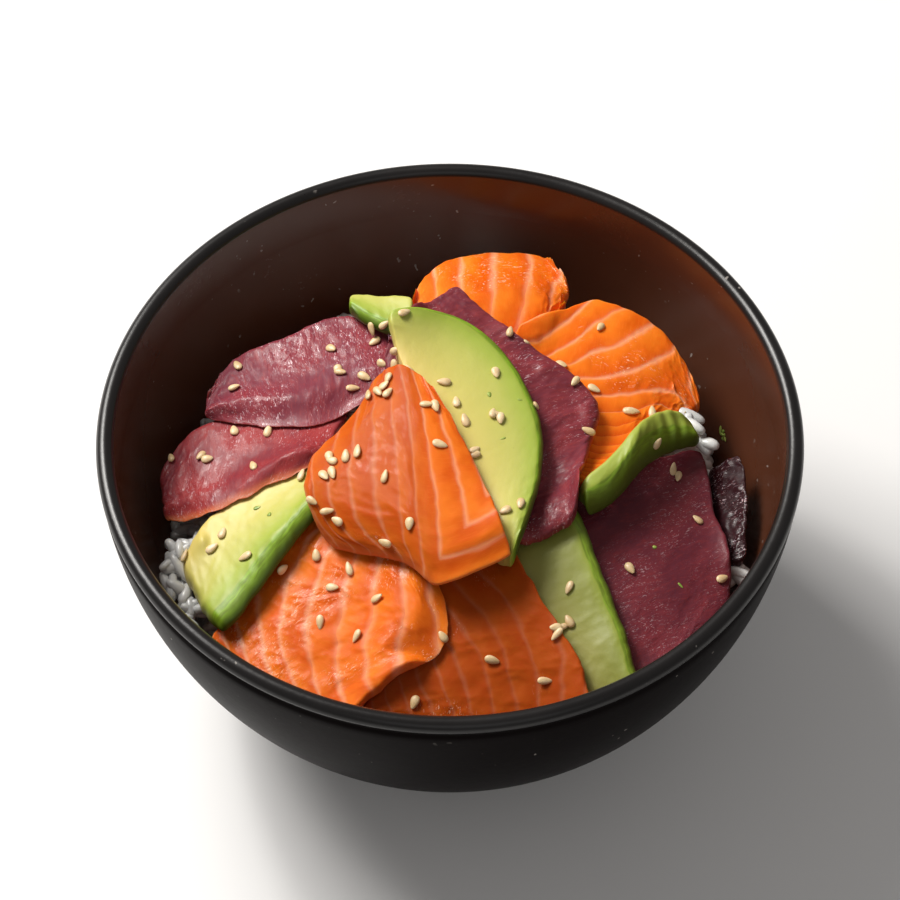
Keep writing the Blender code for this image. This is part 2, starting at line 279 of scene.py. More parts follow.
@dataclass(frozen=True)
class BowlFinish:
    """Matt black outside, a glossy black lip, an inside painted brown as reflected salmon, and fine dust
    specks.
    """

    outside: Colour = (0.0032, 0.0016, 0.0016)
    outside_cloud: Colour = (0.007, 0.005, 0.005)
    # The inside's two browns are painted reflection of the salmon on the black glaze.
    inside: Colour = (0.078, 0.024, 0.011)
    inside_reflection_cloud: Colour = (0.100, 0.034, 0.018)
    lip: Colour = (0.0070, 0.0060, 0.0060)
    lip_cloud: Colour = (0.016, 0.014, 0.014)
    dust: Colour = (0.50, 0.46, 0.42)

    def build(self, part: BowlPart) -> bpy.types.Material:
        """Makes one part's material.

        Args:
            part: The part.

        Returns:
            The material.
        """
        s = Shader("bowl_" + part.name.lower())
        base, cloudy, rough, index = {
            BowlPart.OUTSIDE: (self.outside, self.outside_cloud, 0.42, 1.10),
            BowlPart.INSIDE: (self.inside, self.inside_reflection_cloud, 0.25, 1.40),
            BowlPart.LIP: (self.lip, self.lip_cloud, 0.30, 1.42)}[part]
        where = s.place()
        cloud = s.noise(where, 38.0, 3.0)
        fine = s.noise(where, 900.0, 2.0)
        specks = s.noise(where, 520.0, 1.0).step(0.735, 0.765) * s.noise(where, 60.0, 1.0).step(0.52, 0.62)
        # On the inside, both the base and the cloud colour are painted reflection of the salmon.
        colour = s.blend(cloud.step(0.35, 0.75) * 0.35, base, cloudy)
        colour = s.blend(specks * 0.5, colour, self.dust)
        s.set(Base_Color=colour, Roughness=rough + (cloud - 0.5) * 0.12 + (fine - 0.5) * 0.06, IOR=index)
        s.bump(fine * 0.35 + s.noise(where, 160.0, 2.0), 0.00010, 0.5)
        return s.material


@dataclass(frozen=True)
class SalmonFinish:
    """Wet orange flesh with pale lines of fat between its flakes.

    The point attribute "flake" counts flakes across a slice, so a line lies at each whole number.
    "fatty" says how wide the lines are, "wet" how glossy the flesh is and how many glints are painted
    on it, "dim" how far it is darkened with painted shade, and "edge" is 1 on the cut edge.
    """

    flesh: Colour = (0.88, 0.205, 0.012)
    deep: Colour = (0.69, 0.100, 0.003)
    fat: Colour = (0.90, 0.43, 0.25)
    fibres: Colour = (0.92, 0.27, 0.04)
    # shade is the colour of painted shade.
    shade: Colour = (0.31, 0.042, 0.002)
    cut: Colour = (0.92, 0.36, 0.14)
    # glint is the colour of painted highlights on the wet film.
    glint: Colour = (0.98, 0.66, 0.48)
    line: float = 0.13
    halo: float = 0.34

    def build(self) -> bpy.types.Material:
        """Makes the material.

        Returns:
            The flesh's material.
        """
        s = Shader("salmon_flesh")
        names = ("flake", "edge", "wet", "dim", "fatty")
        flake, edge, wet, dim, fatty = (s.attribute(name) for name in names)
        grain = s.cloth()
        phase = flake + (s.noise(grain, 9.0, 2.0) - 0.5) * 0.16 + (s.noise(grain, 60.0, 2.0) - 0.5) * 0.05
        near = (phase - phase.rounded()).size()
        width = self.line * fatty * (0.30 + 1.4 * s.noise(grain, 13.0, 3.0))
        core = (near / width).step(1.5, 0.0)
        halo = (1.0 - near / self.halo).clip() ** 2.0
        fade = s.noise(grain, 6.0, 2.0).step(0.30, 0.62)
        fibre = s.noise(s.cloth((9.0, 1.3, 1.0)), 34.0, 3.0)
        blotch = s.noise(grain, 11.0, 3.0)
        base = s.blend((blotch * 0.7 + phase.fraction() * 0.3).step(0.28, 0.68), self.flesh, self.deep)
        base = s.blend(fibre.step(0.48, 0.80) * 0.22, base, self.fibres)
        base = s.blend(halo * 0.11 * fatty, base, self.fat)
        base = s.blend(core * (0.14 + 0.44 * fade), base, self.fat)
        # Painted shade: darkens the flesh where the slice lies in shadow or turns away from the key light.
        base = s.blend(dim, base, self.shade)
        base = s.blend(edge * 0.34, base, self.cut)
        film = (s.noise(grain, 7.0, 2.0) + wet * 0.34).step(0.62, 0.84)
        wrinkle = s.noise(s.cloth((1.0, 1.9, 1.0)), 52.0, 2.0, 0.6, 0.8)
        # Painted highlight: pale specks mixed into the colour where the film is wet; the film's lower
        # roughness is real gloss.
        glint = s.noise(s.cloth((1.0, 2.6, 1.0)), 90.0, 2.0, 0.5, 1.2).step(0.60, 0.69) * film
        base = s.blend(glint * 0.75, base, self.glint)
        swell = s.noise(grain, 30.0, 2.0)
        s.set(Base_Color=base, Roughness=0.56 - 0.30 * film, IOR=1.40, Specular_IOR_Level=0.13,
              Subsurface_Weight=0.30, Subsurface_Radius=(1.0, 0.30, 0.08), Subsurface_Scale=0.0030,
              Coat_Weight=0.03 + 0.13 * film, Coat_Roughness=0.10)
        s.bump(swell * 0.4 + wrinkle * (0.10 + 0.9 * film) - core * 0.12, 0.00050, 0.55)
        return s.material


@dataclass(frozen=True)
class TunaFinish:
    """Wet dark red flesh with fine cross grain, lighter and redder where it is thin at its cut edges.

    The point attribute "warm" turns it from purple to red, "dim" darkens it with painted shade, "wet"
    says how glossy it is and how many glints are painted on it, "sheer" is high along a thin,
    see-through edge, and "edge" is 1 on the cut edge.
    """

    name: str
    flesh: Colour
    deep: Colour
    thin: Colour
    purple: Colour = (0.135, 0.038, 0.068)
    see_through: Colour = (0.62, 0.17, 0.045)
    # shade is the colour of painted shade, and glint that of painted highlights.
    shade: Colour = (0.012, 0.004, 0.005)
    glint: Colour = (0.86, 0.66, 0.70)
    gloss: float = 0.42

    def build(self) -> bpy.types.Material:
        """Makes the material.

        Returns:
            The flesh's material.
        """
        s = Shader(self.name)
        edge, dim, sheer = s.attribute("edge"), s.attribute("dim"), s.attribute("sheer")
        grain = s.cloth()
        strands = s.noise(s.cloth((5.5, 1.2, 1.0)), 26.0, 4.0, 0.6, 0.4)
        cross = s.noise(s.cloth((1.3, 5.0, 1.0)), 30.0, 3.0, 0.6, 0.6)
        blotch = s.noise(grain, 8.0, 3.0)
        base = s.blend(blotch.step(0.30, 0.72), self.deep, self.flesh)
        base = s.blend(s.attribute("warm"), s.blend(0.45, base, self.purple), base)
        base = s.blend(strands.step(0.46, 0.74) * 0.26, base, self.thin)
        base = s.blend(cross.step(0.56, 0.78) * 0.18, base, self.thin)
        base = s.blend(edge * 0.30, base, self.thin)
        base = s.blend(sheer, base, self.see_through)
        # Painted shade: darkens the flesh where the slice lies in shadow.
        base = s.blend(dim, base, self.shade)
        film = s.noise(s.cloth((1.0, 0.7, 1.0)), 9.0, 2.0).step(0.38, 0.62) * s.attribute("wet")
        streaks = s.noise(s.cloth((2.2, 1.0, 1.0)), 44.0, 2.0, 0.6, 1.2)
        # Painted highlight: pale streaks mixed into the colour where the film is wet.
        glint = s.noise(s.cloth((3.0, 1.0, 1.0)), 80.0, 2.0, 0.5, 1.6).step(0.60, 0.70) * film
        base = s.blend(glint * 0.75, base, self.glint)
        rough = self.gloss + 0.14 * s.noise(grain, 22.0, 3.0).step(0.30, 0.75) - film * 0.16
        s.set(Base_Color=base, Roughness=rough, IOR=1.40, Specular_IOR_Level=0.22,
              Subsurface_Weight=0.20, Subsurface_Radius=(1.0, 0.20, 0.14), Subsurface_Scale=0.0028,
              Coat_Weight=0.03 + 0.16 * film, Coat_Roughness=0.10)
        s.bump(streaks * (0.14 + 0.8 * film) + strands * 0.10, 0.00060, 0.50)
        return s.material


@dataclass(frozen=True)
class AvocadoFinish:
    """Buttery flesh: yellow by the stone, pale green outwards, and a green rind side.

    The point attribute "rim" is 0 at the rind and 1 at the stone's side, "rind" is 1 on the side
    that was under the skin, and "dim" darkens it with painted shade where it lies in shadow.
    """

    by_rind: Colour = (0.30, 0.38, 0.045)
    outer: Colour = (0.34, 0.42, 0.055)
    pale: Colour = (0.46, 0.47, 0.10)
    middle: Colour = (0.58, 0.51, 0.13)
    stone: Colour = (0.80, 0.57, 0.19)
    rind: Colour = (0.145, 0.225, 0.012)
    rind_light: Colour = (0.26, 0.44, 0.022)
    rind_deep: Colour = (0.058, 0.105, 0.004)
    # shade is the colour of painted shade.
    shade: Colour = (0.17, 0.155, 0.03)
    fleck: Colour = (0.33, 0.28, 0.08)

    def build(self) -> bpy.types.Material:
        """Makes the material.

        Returns:
            The avocado's material.
        """
        s = Shader("avocado_flesh")
        rim, rind = s.attribute("rim"), s.attribute("rind")
        grain = s.cloth()
        blur = (s.noise(grain, 14.0, 3.0) - 0.5) * 0.10
        stops = ((0.0, self.by_rind), (0.05, self.outer), (0.20, self.pale), (0.50, self.middle),
                 (1.0, self.stone))
        base = s.colours((rim + blur).clip(), stops)
        streak = s.noise(s.cloth((1.2, 9.0, 1.0)), 16.0, 3.0)
        skin = s.blend(streak.step(0.30, 0.72), self.rind, self.rind_light)
        skin = s.blend((rind + (streak - 0.5) * 0.3).step(0.40, 1.0), skin, self.rind_deep)
        base = s.blend(rind.step(0.02, 0.16), base, skin)
        # Painted shade: darkens slices that lie in shadow.
        base = s.blend(s.attribute("dim"), base, self.shade)
        base = s.blend(s.noise(grain, 95.0, 1.0).step(0.72, 0.78) * 0.16, base, self.fleck)
        rough = 0.40 + 0.16 * s.noise(grain, 30.0, 2.0)
        s.set(Base_Color=base, Roughness=rough, Specular_IOR_Level=0.40,
              Subsurface_Weight=0.20, Subsurface_Radius=(0.9, 0.8, 0.25), Subsurface_Scale=0.0020,
              Coat_Weight=0.05, Coat_Roughness=0.25)
        s.bump(s.noise(grain, 34.0, 3.0) + streak * rind, 0.00030, 0.30)
        return s.material


@dataclass(frozen=True)
class RiceFinish:
    """Moist white cooked grains, a little see-through."""

    white: Colour = (0.74, 0.74, 0.72)
    grey: Colour = (0.60, 0.61, 0.60)

    def build(self) -> bpy.types.Material:
        """Makes the material.

        Returns:
            The rice's material.
        """
        s = Shader("rice_grain")
        base = s.blend(s.noise(s.place(), 300.0, 2.0).step(0.3, 0.7), self.grey, self.white)
        s.set(Base_Color=base, Roughness=0.30, Coat_Weight=0.2, Coat_Roughness=0.15,
              Subsurface_Weight=0.35, Subsurface_Radius=(1.0, 0.95, 0.85), Subsurface_Scale=0.0015)
        s.bump(s.noise(s.place(), 900.0, 2.0), 0.0001, 0.4)
        return s.material


@dataclass(frozen=True)
class HerbFinish:
    """Fresh chopped herb, light and dark green."""

    leaf: Colour = (0.16, 0.27, 0.03)
    light: Colour = (0.38, 0.46, 0.09)

    def build(self) -> bpy.types.Material:
        """Makes the material.

        Returns:
            The herb's material.
        """
        s = Shader("herb_leaf")
        patch = s.noise(s.place(), 900.0, 2.0)
        s.set(Base_Color=s.blend(patch.step(0.3, 0.7), self.leaf, self.light), Roughness=0.45)
        s.bump(patch, 0.0001, 0.4)
        return s.material


@dataclass(frozen=True)
class SesameFinish:
    """Toasted cream hulls with a darker point."""

    hull: Colour = (0.80, 0.63, 0.38)
    toasted: Colour = (0.56, 0.36, 0.15)
    point: Colour = (0.12, 0.05, 0.02)

    def build(self) -> bpy.types.Material:
        """Makes the material.

        Returns:
            The seeds' material, which reads the point attributes "tip" and "toast".
        """
        s = Shader("sesame_hull")
        tip, toast = s.attribute("tip"), s.attribute("toast")
        mottled = s.noise(s.place(), 700.0, 3.0)
        base = s.blend(mottled.step(0.3, 0.75) * 0.5 + toast * 0.4, self.hull, self.toasted)
        base = s.blend(tip.step(0.86, 0.99) * toast.step(0.35, 0.8), base, self.point)
        s.set(Base_Color=base, Roughness=0.42, Coat_Weight=0.15, Coat_Roughness=0.3,
              Subsurface_Weight=0.12, Subsurface_Radius=(1.0, 0.6, 0.3), Subsurface_Scale=0.0008)
        s.bump(mottled, 0.00008, 0.5)
        return s.material


@dataclass(frozen=True)
class FloorFinish:
    """Pale grey-white card with a faint cloud in it."""

    card: Colour = (0.86, 0.86, 0.86)
    darker: float = 0.97

    def build(self) -> bpy.types.Material:
        """Makes the material.

        Returns:
            The floor's material.
        """
        s = Shader("floor_white")
        low = tuple(c * self.darker for c in self.card)
        s.set(Base_Color=s.blend(s.noise(s.place(), 20.0, 2.0), low, self.card), Roughness=0.7)
        return s.material


# ---------------------------------------------------------------------------------------
# Shapes in numpy
# ---------------------------------------------------------------------------------------


def inner_radius(height: Array | float) -> Array:
    """Radius of the bowl's inside at a height: BORE_RADIUS * (1 - depth share ^ BORE_POWER) ^ (1 / 2)."""
    depth = np.clip((BOWL_HEIGHT - np.asarray(height, float)) / BORE_DEPTH, 0.0, 1.0)
    return BORE_RADIUS * np.sqrt(1.0 - depth**BORE_POWER)


def inner_height(radius: Array | float) -> Array:
    """Height of the bowl's inside at a radius: inner_radius turned round."""
    part = np.clip(np.asarray(radius, float) / BORE_RADIUS, 0.0, 1.0)
    return BOWL_HEIGHT - BORE_DEPTH * (1.0 - part**2) ** (1.0 / BORE_POWER)


def rice_height(x: Array | float, y: Array | float) -> Array:
    """Height of the rice: a mound with long bumps made of sines, a little higher at the back.

    Args:
        x: Places across, in millimetres.
        y: Places from front to back.

    Returns:
        The height, which falls with the radius to the power 4.
    """
    part = np.clip(np.hypot(x, y) / RICE_REACH, 0.0, 1.0)
    bumps = np.sin(x * 0.31 + 0.7) * np.cos(y * 0.27 - 0.4) + 0.6 * np.sin(0.19 * x - 0.35 * y + 1.9)
    return RICE_EDGE + RICE_RISE * (1.0 - part**4) + 0.02 * y + 0.7 * bumps


def soft_noise(x: Array, y: Array, seed: int, octaves: int = 3) -> Array:
    """Gradient noise of about -1 to 1: dot products with random directions at whole numbers, eased between.

    Args:
        x: First coordinate, one unit to a bump.
        y: Second coordinate.
        seed: Picks the directions.
        octaves: How many times finer noise of half the height is added.

    Returns:
        The noise at each place.
    """
    cells = 64
    total = np.zeros(np.broadcast(x, y).shape)
    for level in range(octaves):
        rng = np.random.default_rng(seed + 101 * level)
        angle = rng.uniform(0, 2 * math.pi, (cells, cells))
        gx, gy = np.cos(angle), np.sin(angle)
        px, py = x * 2**level, y * 2**level
        i, j = np.floor(px).astype(int), np.floor(py).astype(int)
        fx, fy = px - i, py - j
        ex, ey = fx**3 * (fx * (fx * 6 - 15) + 10), fy**3 * (fy * (fy * 6 - 15) + 10)

        def corner(a: int, b: int) -> Array:
            """Pull of one grid corner."""
            ii, jj = (i + a) % cells, (j + b) % cells
            return gx[ii, jj] * (fx - a) + gy[ii, jj] * (fy - b)

        low = corner(0, 0) * (1 - ex) + corner(1, 0) * ex
        high = corner(0, 1) * (1 - ex) + corner(1, 1) * ex
        total += (low * (1 - ey) + high * ey) * 1.5 / 2**level
    return total


def spline(points: Sequence, t: Array) -> Array:
    """A natural cubic spline through points.

    Args:
        points: The points, in order.
        t: Where to read it, from 0 to 1 of its chord length.

    Returns:
        The places, one for each t.
    """
    p = np.asarray(points, float)
    knots = np.concatenate([[0.0], np.cumsum(np.linalg.norm(np.diff(p, axis=0), axis=1))])
    knots /= knots[-1]
    n = len(p)
    gap = np.diff(knots)
    system, right = np.eye(n), np.zeros_like(p)
    for i in range(1, n - 1):
        system[i, i - 1 : i + 2] = gap[i - 1], 2 * (gap[i - 1] + gap[i]), gap[i]
        right[i] = 6 * ((p[i + 1] - p[i]) / gap[i] - (p[i] - p[i - 1]) / gap[i - 1])
    bend = np.linalg.solve(system, right)
    t = np.clip(np.asarray(t, float), 0.0, 1.0)
    k = np.clip(np.searchsorted(knots, t, side="right") - 1, 0, n - 2)
    h = gap[k][..., None]
    a = ((knots[k + 1] - t)[..., None]) / h
    b = 1.0 - a
    return a * p[k] + b * p[k + 1] + ((a**3 - a) * bend[k] + (b**3 - b) * bend[k + 1]) * h * h / 6.0


def loft(rails: Sequence[Rail], along: Array, across: Array) -> Array:
    """The surface through the rails: a spline along each, then a Catmull-Rom curve over them.

    Args:
        rails: Two or more curves, each as its points.
        along: Share of the way along the rails, from -1 to 1.
        across: Share of the way from the first rail to the last, from -1 to 1.

    Returns:
        The places, one for each pair of shares.
    """
    on = np.stack([spline(rail, (along + 1.0) / 2.0) for rail in rails])
    k = len(rails)
    where = (across + 1.0) / 2.0 * (k - 1)
    if k == 2:
        share = where[..., None]
        return on[0] * (1 - share) + on[1] * share
    i = np.clip(np.floor(where).astype(int), 0, k - 2)
    f = (where - i)[..., None]
    flat, cell = on.reshape(k, -1, 3), np.arange(along.size).reshape(along.shape)
    p0, p1, p2, p3 = (flat[np.clip(i + d, 0, k - 1), cell] for d in (-1, 0, 1, 2))
    square, cube = 2 * p0 - 5 * p1 + 4 * p2 - p3, 3 * p1 - p0 - 3 * p2 + p3
    return 0.5 * (2 * p1 + (p2 - p0) * f + square * f**2 + cube * f**3)


def cubic_weights(at: Array, count: int) -> Array:
    """Catmull-Rom weights that read a smooth curve through evenly spaced values.

    Args:
        at: Where to read it, from -1 to 1.
        count: How many values there are between -1 and 1.

    Returns:
        A row of weights for each place.
    """
    where = np.clip((at + 1.0) / 2.0, 0.0, 1.0) * (count - 1)
    i = np.clip(np.floor(where).astype(int), 0, count - 2)
    f = where - i
    weights = np.zeros((len(at), count))
    rows = np.arange(len(at))
    parts = (-0.5 * f + f**2 - 0.5 * f**3, 1 - 2.5 * f**2 + 1.5 * f**3,
             0.5 * f + 2 * f**2 - 1.5 * f**3, -0.5 * f**2 + 0.5 * f**3)
    for offset, part in zip((-1, 0, 1, 2), parts):
        np.add.at(weights, (rows, np.clip(i + offset, 0, count - 1)), part)
    return weights


def smoothed(grid: Array, passes: int) -> Array:
    """A grid averaged with its four neighbours again and again, its borders kept straight.

    Args:
        grid: The grid.
        passes: How many times.

    Returns:
        The smoothed grid.
    """
    for _ in range(passes):
        pad = np.pad(grid, 1, mode="reflect", reflect_type="odd")
        grid = 0.5 * grid + 0.125 * (pad[:-2, 1:-1] + pad[2:, 1:-1] + pad[1:-1, :-2] + pad[1:-1, 2:])
    return grid


def eased(value: Array, low: float, high: float) -> Array:
    """A smooth rise from 0 at low to 1 at high: 3 t^2 - 2 t^3."""
    t = np.clip((value - low) / (high - low), 0.0, 1.0)
    return t * t * (3 - 2 * t)


def grid_cells(number: Array) -> Array:
    """Corner numbers of the four-sided faces of a grid of numbered points."""
    corners = (number[:-1, :-1], number[1:, :-1], number[1:, 1:], number[:-1, 1:])
    return np.stack(corners, axis=-1).reshape(-1, 4)


def turned_faces(rows: int, steps: int, climbing: bool = False) -> tuple[Array, Array]:
    """Faces of a closed turned shape: four-sided between its rings, and a fan that closes each end.

    Its points are the rings in order, then the middle of the first ring and of the last.

    Args:
        rows: How many rings.
        steps: Points on each ring.
        climbing: Whether the rings start at the underside; the faces are then turned over.

    Returns:
        Corner numbers of the four-sided faces and of the three-sided ones.
    """
    number = np.arange(rows * steps).reshape(rows, steps)
    nxt = np.roll(number, -1, axis=1)
    quads = np.stack([number[:-1], number[1:], nxt[1:], nxt[:-1]], axis=-1).reshape(-1, 4)
    first, last = (np.full(steps, rows * steps + end) for end in (0, 1))
    fans = np.concatenate([np.stack([first, number[0], nxt[0]], axis=-1),
                           np.stack([last, nxt[-1], number[-1]], axis=-1)])
    if climbing:
        return quads[:, [0, 3, 2, 1]], fans[:, [0, 2, 1]]
    return quads, fans


def make_piece(name: str, points: Array, quads: Array, attributes: dict[str, Array] | None = None,
               surface: Array | None = None, triangles: Array | None = None) -> bpy.types.Object:
    """Makes a smooth mesh object at the origin.

    Args:
        name: The piece's name.
        points: Places in millimetres, n by 3.
        quads: Corner numbers of four-sided faces, m by 4.
        attributes: Numbers to store on the points, by name.
        surface: Surface coordinates of each point, n by 2, stored as the UV map "surface".
        triangles: Corner numbers of three-sided faces.

    Returns:
        The new object, linked to the scene.
    """
    faces = [quads] if triangles is None else [quads, triangles]
    corners = np.concatenate([f.ravel() for f in faces]).astype(np.int32)
    sizes = np.concatenate([np.full(len(f), f.shape[1]) for f in faces]).astype(np.int32)
    mesh = bpy.data.meshes.new(name)
    mesh.vertices.add(len(points))
    mesh.vertices.foreach_set("co", (points * MM).astype(np.float32).ravel())
    mesh.loops.add(len(corners))
    mesh.loops.foreach_set("vertex_index", corners)
    mesh.polygons.add(len(sizes))
    mesh.polygons.foreach_set("loop_start", np.concatenate([[0], np.cumsum(sizes)[:-1]]).astype(np.int32))
    mesh.polygons.foreach_set("use_smooth", np.ones(len(sizes), bool))
    mesh.update(calc_edges=True)
    if surface is not None:
        layer = mesh.uv_layers.new(name="surface")
        layer.data.foreach_set("uv", surface[corners].astype(np.float32).ravel())
    for key, values in (attributes or {}).items():
        layer = mesh.attributes.new(key, "FLOAT", "POINT")
        layer.data.foreach_set("value", values.astype(np.float32).ravel())
    mesh.validate()
    piece = bpy.data.objects.new(name, mesh)
    bpy.context.scene.collection.objects.link(piece)
    return piece


def dress(piece: bpy.types.Object, materials: Sequence[bpy.types.Material],
          replaces: str | None = None) -> None:
    """Gives a piece its materials, rides it on the body and hides the solid that it stands for.

    Args:
        piece: The piece.
        materials: Its materials, in the order of its faces' numbers.
        replaces: The solid that it replaces, if any.
    """
    for material in materials:
        piece.data.materials.append(material)
    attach(piece, "root")
    if replaces:
        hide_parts(replaces)
    piece.data.calc_loop_triangles()
    LOG.info("%s: %d triangles", piece.name, len(piece.data.loop_triangles))


@dataclass
class HeightField:
    """How high the contents stand at each place on a square grid over the bowl, in millimetres.

    step: the grid's spacing. steepest: the most that a thing laid on it tilts, as a slope.
    """

    step: float = 0.5
    steepest: float = 1.2

    def __post_init__(self) -> None:
        """Starts with the rice and the bowl's inside; bare keeps that start."""
        self.count = int(2 * BOWL_RADIUS / self.step) + 1
        line = np.linspace(-BOWL_RADIUS, BOWL_RADIUS, self.count)
        x, y = np.meshgrid(line, line, indexing="ij")
        radius = np.hypot(x, y)
        inside = inner_height(radius)
        self.z = np.where(radius < RICE_REACH, np.maximum(inside, rice_height(x, y)), inside)
        self.bare = self.z.copy()

    def index(self, value: Array) -> Array:
        """Row or column of a coordinate."""
        return np.clip(np.rint((value + BOWL_RADIUS) / self.step).astype(int), 0, self.count - 1)

    def at(self, grid: Array, x: Array, y: Array) -> Array:
        """A grid's value at each place."""
        return grid[self.index(x), self.index(y)]

    def raised(self, cells: int = 2) -> Array:
        """The field with each place as high as its highest neighbour.

        Args:
            cells: How far away a neighbour may be.

        Returns:
            The raised grid.
        """
        pad = np.pad(self.z, cells, mode="edge")
        n, reach = self.count, range(2 * cells + 1)
        return np.max([pad[i : i + n, j : j + n] for i in reach for j in reach], axis=0)

    def add(self, places: Array) -> None:
        """Raises the field to a surface given as many close places."""
        np.maximum.at(self.z, (self.index(places[..., 0]), self.index(places[..., 1])), places[..., 2])

    def lie(self, x: Array, y: Array) -> tuple[Array, Array]:
        """What a small thing lies on at each place.

        Args:
            x: Places across, in millimetres.
            y: Places from front to back.

        Returns:
            Height and upward normal of the smoothed field.
        """
        soft = smoothed(self.z, 3)
        falls = [-self.at(grid, x, y) for grid in np.gradient(soft, self.step)]
        normal = np.stack([*np.clip(falls, -self.steepest, self.steepest), np.ones(len(x))], axis=-1)
        return self.at(soft, x, y), normal / np.linalg.norm(normal, axis=-1, keepdims=True)


# ---------------------------------------------------------------------------------------
# Bowl
# ---------------------------------------------------------------------------------------


@dataclass
class TurnedBowl:
    """The bowl, turned from one profile: inside, lip, wall, under-turn, foot ring and recess."""

    steps: int = 224
    bore: float = 75.6
    wall_radius: float = 79.9
    wall_close: float = 91.0
    shoulder: float = 66.0
    foot: float = 37.5
    foot_inner: float = 33.0
    recess: float = 3.0
    lip: float = 2.0
    neck: tuple[tuple[float, float], ...] = ((79.45, 76.9), (79.15, 76.3), (79.3, 75.7), (79.62, 75.2))

    def profile(self) -> tuple[Array, Array]:
        """The half profile from the middle of the inside, over the lip, to the middle of the underside.

        The inside is the curve of inner_height; the lip is an arc; the wall is an ellipse that would
        close at wall_close below the rim; a Bezier curve turns it under to the foot.

        Returns:
            Radius and height of each point as rows, and the part that follows each point.
        """
        r_in = self.bore * np.sin(np.linspace(0.0, math.pi / 2, 70))
        inside = np.stack([r_in, inner_height(r_in)], axis=1)
        swing = np.linspace(math.radians(-80.0), math.radians(95.0), 16)
        lip = np.stack([BOWL_RADIUS - self.lip + self.lip * np.sin(swing),
                        BOWL_HEIGHT - self.lip + self.lip * np.cos(swing)], axis=1)
        depth = np.linspace(5.6, self.shoulder, 46)
        r_wall = self.wall_radius * np.sqrt(1 - (depth / self.wall_close) ** 2)
        wall = np.stack([r_wall, BOWL_HEIGHT - depth], axis=1)
        t = np.linspace(0.0, 1.0, 14)[1:, None]
        start, middle, end = wall[-1], np.array((48.3, 6.7)), np.array((self.foot + 0.9, 5.1))
        under = (1 - t) ** 2 * start + 2 * t * (1 - t) * middle + t**2 * end
        out, bore, top = self.foot, self.foot_inner, self.recess
        ring = ((out + 0.35, 4.7), (out, 4.0), (out - 0.1, 1.2), (out - 0.35, 0.4), (out - 1.0, 0.0),
                (bore + 0.9, 0.0), (bore + 0.3, 0.3), (bore, 0.9), (bore - 0.4, top - 0.5), (bore - 1.2, top),
                (16.0, top), (0.0, top))
        points = np.concatenate([inside, lip, np.array(self.neck), wall, under, np.array(ring)])
        part = np.full(len(points), BowlPart.OUTSIDE.value)
        part[: len(inside) + len(lip) + 1] = BowlPart.LIP.value
        part[: len(inside)] = BowlPart.INSIDE.value
        return points, part

    def build(self, materials: Sequence[bpy.types.Material]) -> None:
        """Turns the profile about Z and dresses it.

        Args:
            materials: The parts' materials, in their order.
        """
        points, part = self.profile()
        radius, height = points[1:-1, :1], np.repeat(points[1:-1, 1:], self.steps, axis=1)
        angle = np.linspace(0, 2 * math.pi, self.steps, endpoint=False)
        rings = np.stack([radius * np.cos(angle), radius * np.sin(angle), height], axis=-1)
        ends = [[0, 0, points[0][1]], [0, 0, points[-1][1]]]
        quads, fans = turned_faces(len(radius), self.steps)
        piece = make_piece("bowl_turned", np.concatenate([rings.reshape(-1, 3), ends]), quads, triangles=fans)
        parts = np.concatenate([np.repeat(part[1:-2], self.steps), np.repeat(part[[0, -1]], self.steps)])
        piece.data.polygons.foreach_set("material_index", parts.astype(np.int32))
        dress(piece, materials, "bowl")


# ---------------------------------------------------------------------------------------
# Slices
# ---------------------------------------------------------------------------------------


class Kind(Enum):
    """What a slice is cut from."""

    SALMON = "salmon"
    TUNA = "tuna"
    # TUNA_DARK is a darker copy of the tuna finish for the slices on the right; its darkness is partly
    # painted shade.
    TUNA_DARK = "tuna_dark"
    AVOCADO = "avocado"

    @property
    def slot(self) -> str:
        """The record's material slot, which both tunas share."""
        return self.value.removesuffix("_dark")


@dataclass(frozen=True)
class SliceSpec:
    """One slice: the rails of its solid, in millimetres, and how it is cut and marked.

    Places along and across a slice run from -1 to 1.

    node: the solid it replaces. kind: what it is cut from. seed: picks its random bumps.
    rails: curves along it on its upper face, from one long edge to the other. thick: its thickness.
    corner: how far its corners are rounded off. arch: how far its middle rises.
    limp: the length over which it smooths what it lies on. hug: how far its edges come down to that.
    flakes: terms (power of along, power of across, amount) that add up to the flake count.
    second: terms of a second family of flakes; the smaller count of the two holds.
    bumps: soft swellings (along, across, reach along, reach across, height).
    cut: rounding of its four edges: start, end, first rail, last rail.
    ragged: how far its outline wanders. uneven: strength of its small relief.
    fold: rounding of its end edge where it is folded under, and the across place at which that stops.
    thin_end: how far in from its end edge it thins, past the fold.
    taper: how far in from its last rail it thins to nothing, and the along place at which that stops.
    steepest: the most that a slope thickens the upright cut through it.
    rind: width of the side that was under the avocado's skin. green: how far in from it the face
    turns yellow.
    wet, dim, fatty, warm: amounts of gloss and of painted glints, of painted shade, of fat in its
    lines and of red in tuna.
    plain, lit: across places between which its lines of fat, and its painted shade, fade out.
    sheer: how far in from its last rail it is thin enough to be seen through.
    """

    node: str
    kind: Kind
    rails: tuple[Rail, ...]
    thick: float
    corner: float = 0.07
    arch: float = 0.6
    limp: float = 3.0
    hug: float = 0.5
    flakes: Terms = ((0, 1, 3.5),)
    second: Terms = ()
    bumps: tuple[tuple[float, float, float, float, float], ...] = ()
    cut: tuple[float, float, float, float] = (0.9, 0.9, 0.9, 0.9)
    ragged: float = 0.5
    uneven: float = 1.0
    fold: tuple[float, float] = (0.0, 1.0)
    thin_end: float = 0.0
    taper: tuple[float, float] = (0.0, 1.0)
    steepest: float = 1.9
    rind: float = 1.4
    green: float = 22.0
    wet: float = 0.5
    dim: float = 0.0
    fatty: float = 1.0
    warm: float = 0.5
    plain: tuple[float, float] = (2.0, 3.0)
    lit: tuple[float, float] = (2.0, 3.0)
    sheer: float = 0.0
    seed: int = 1


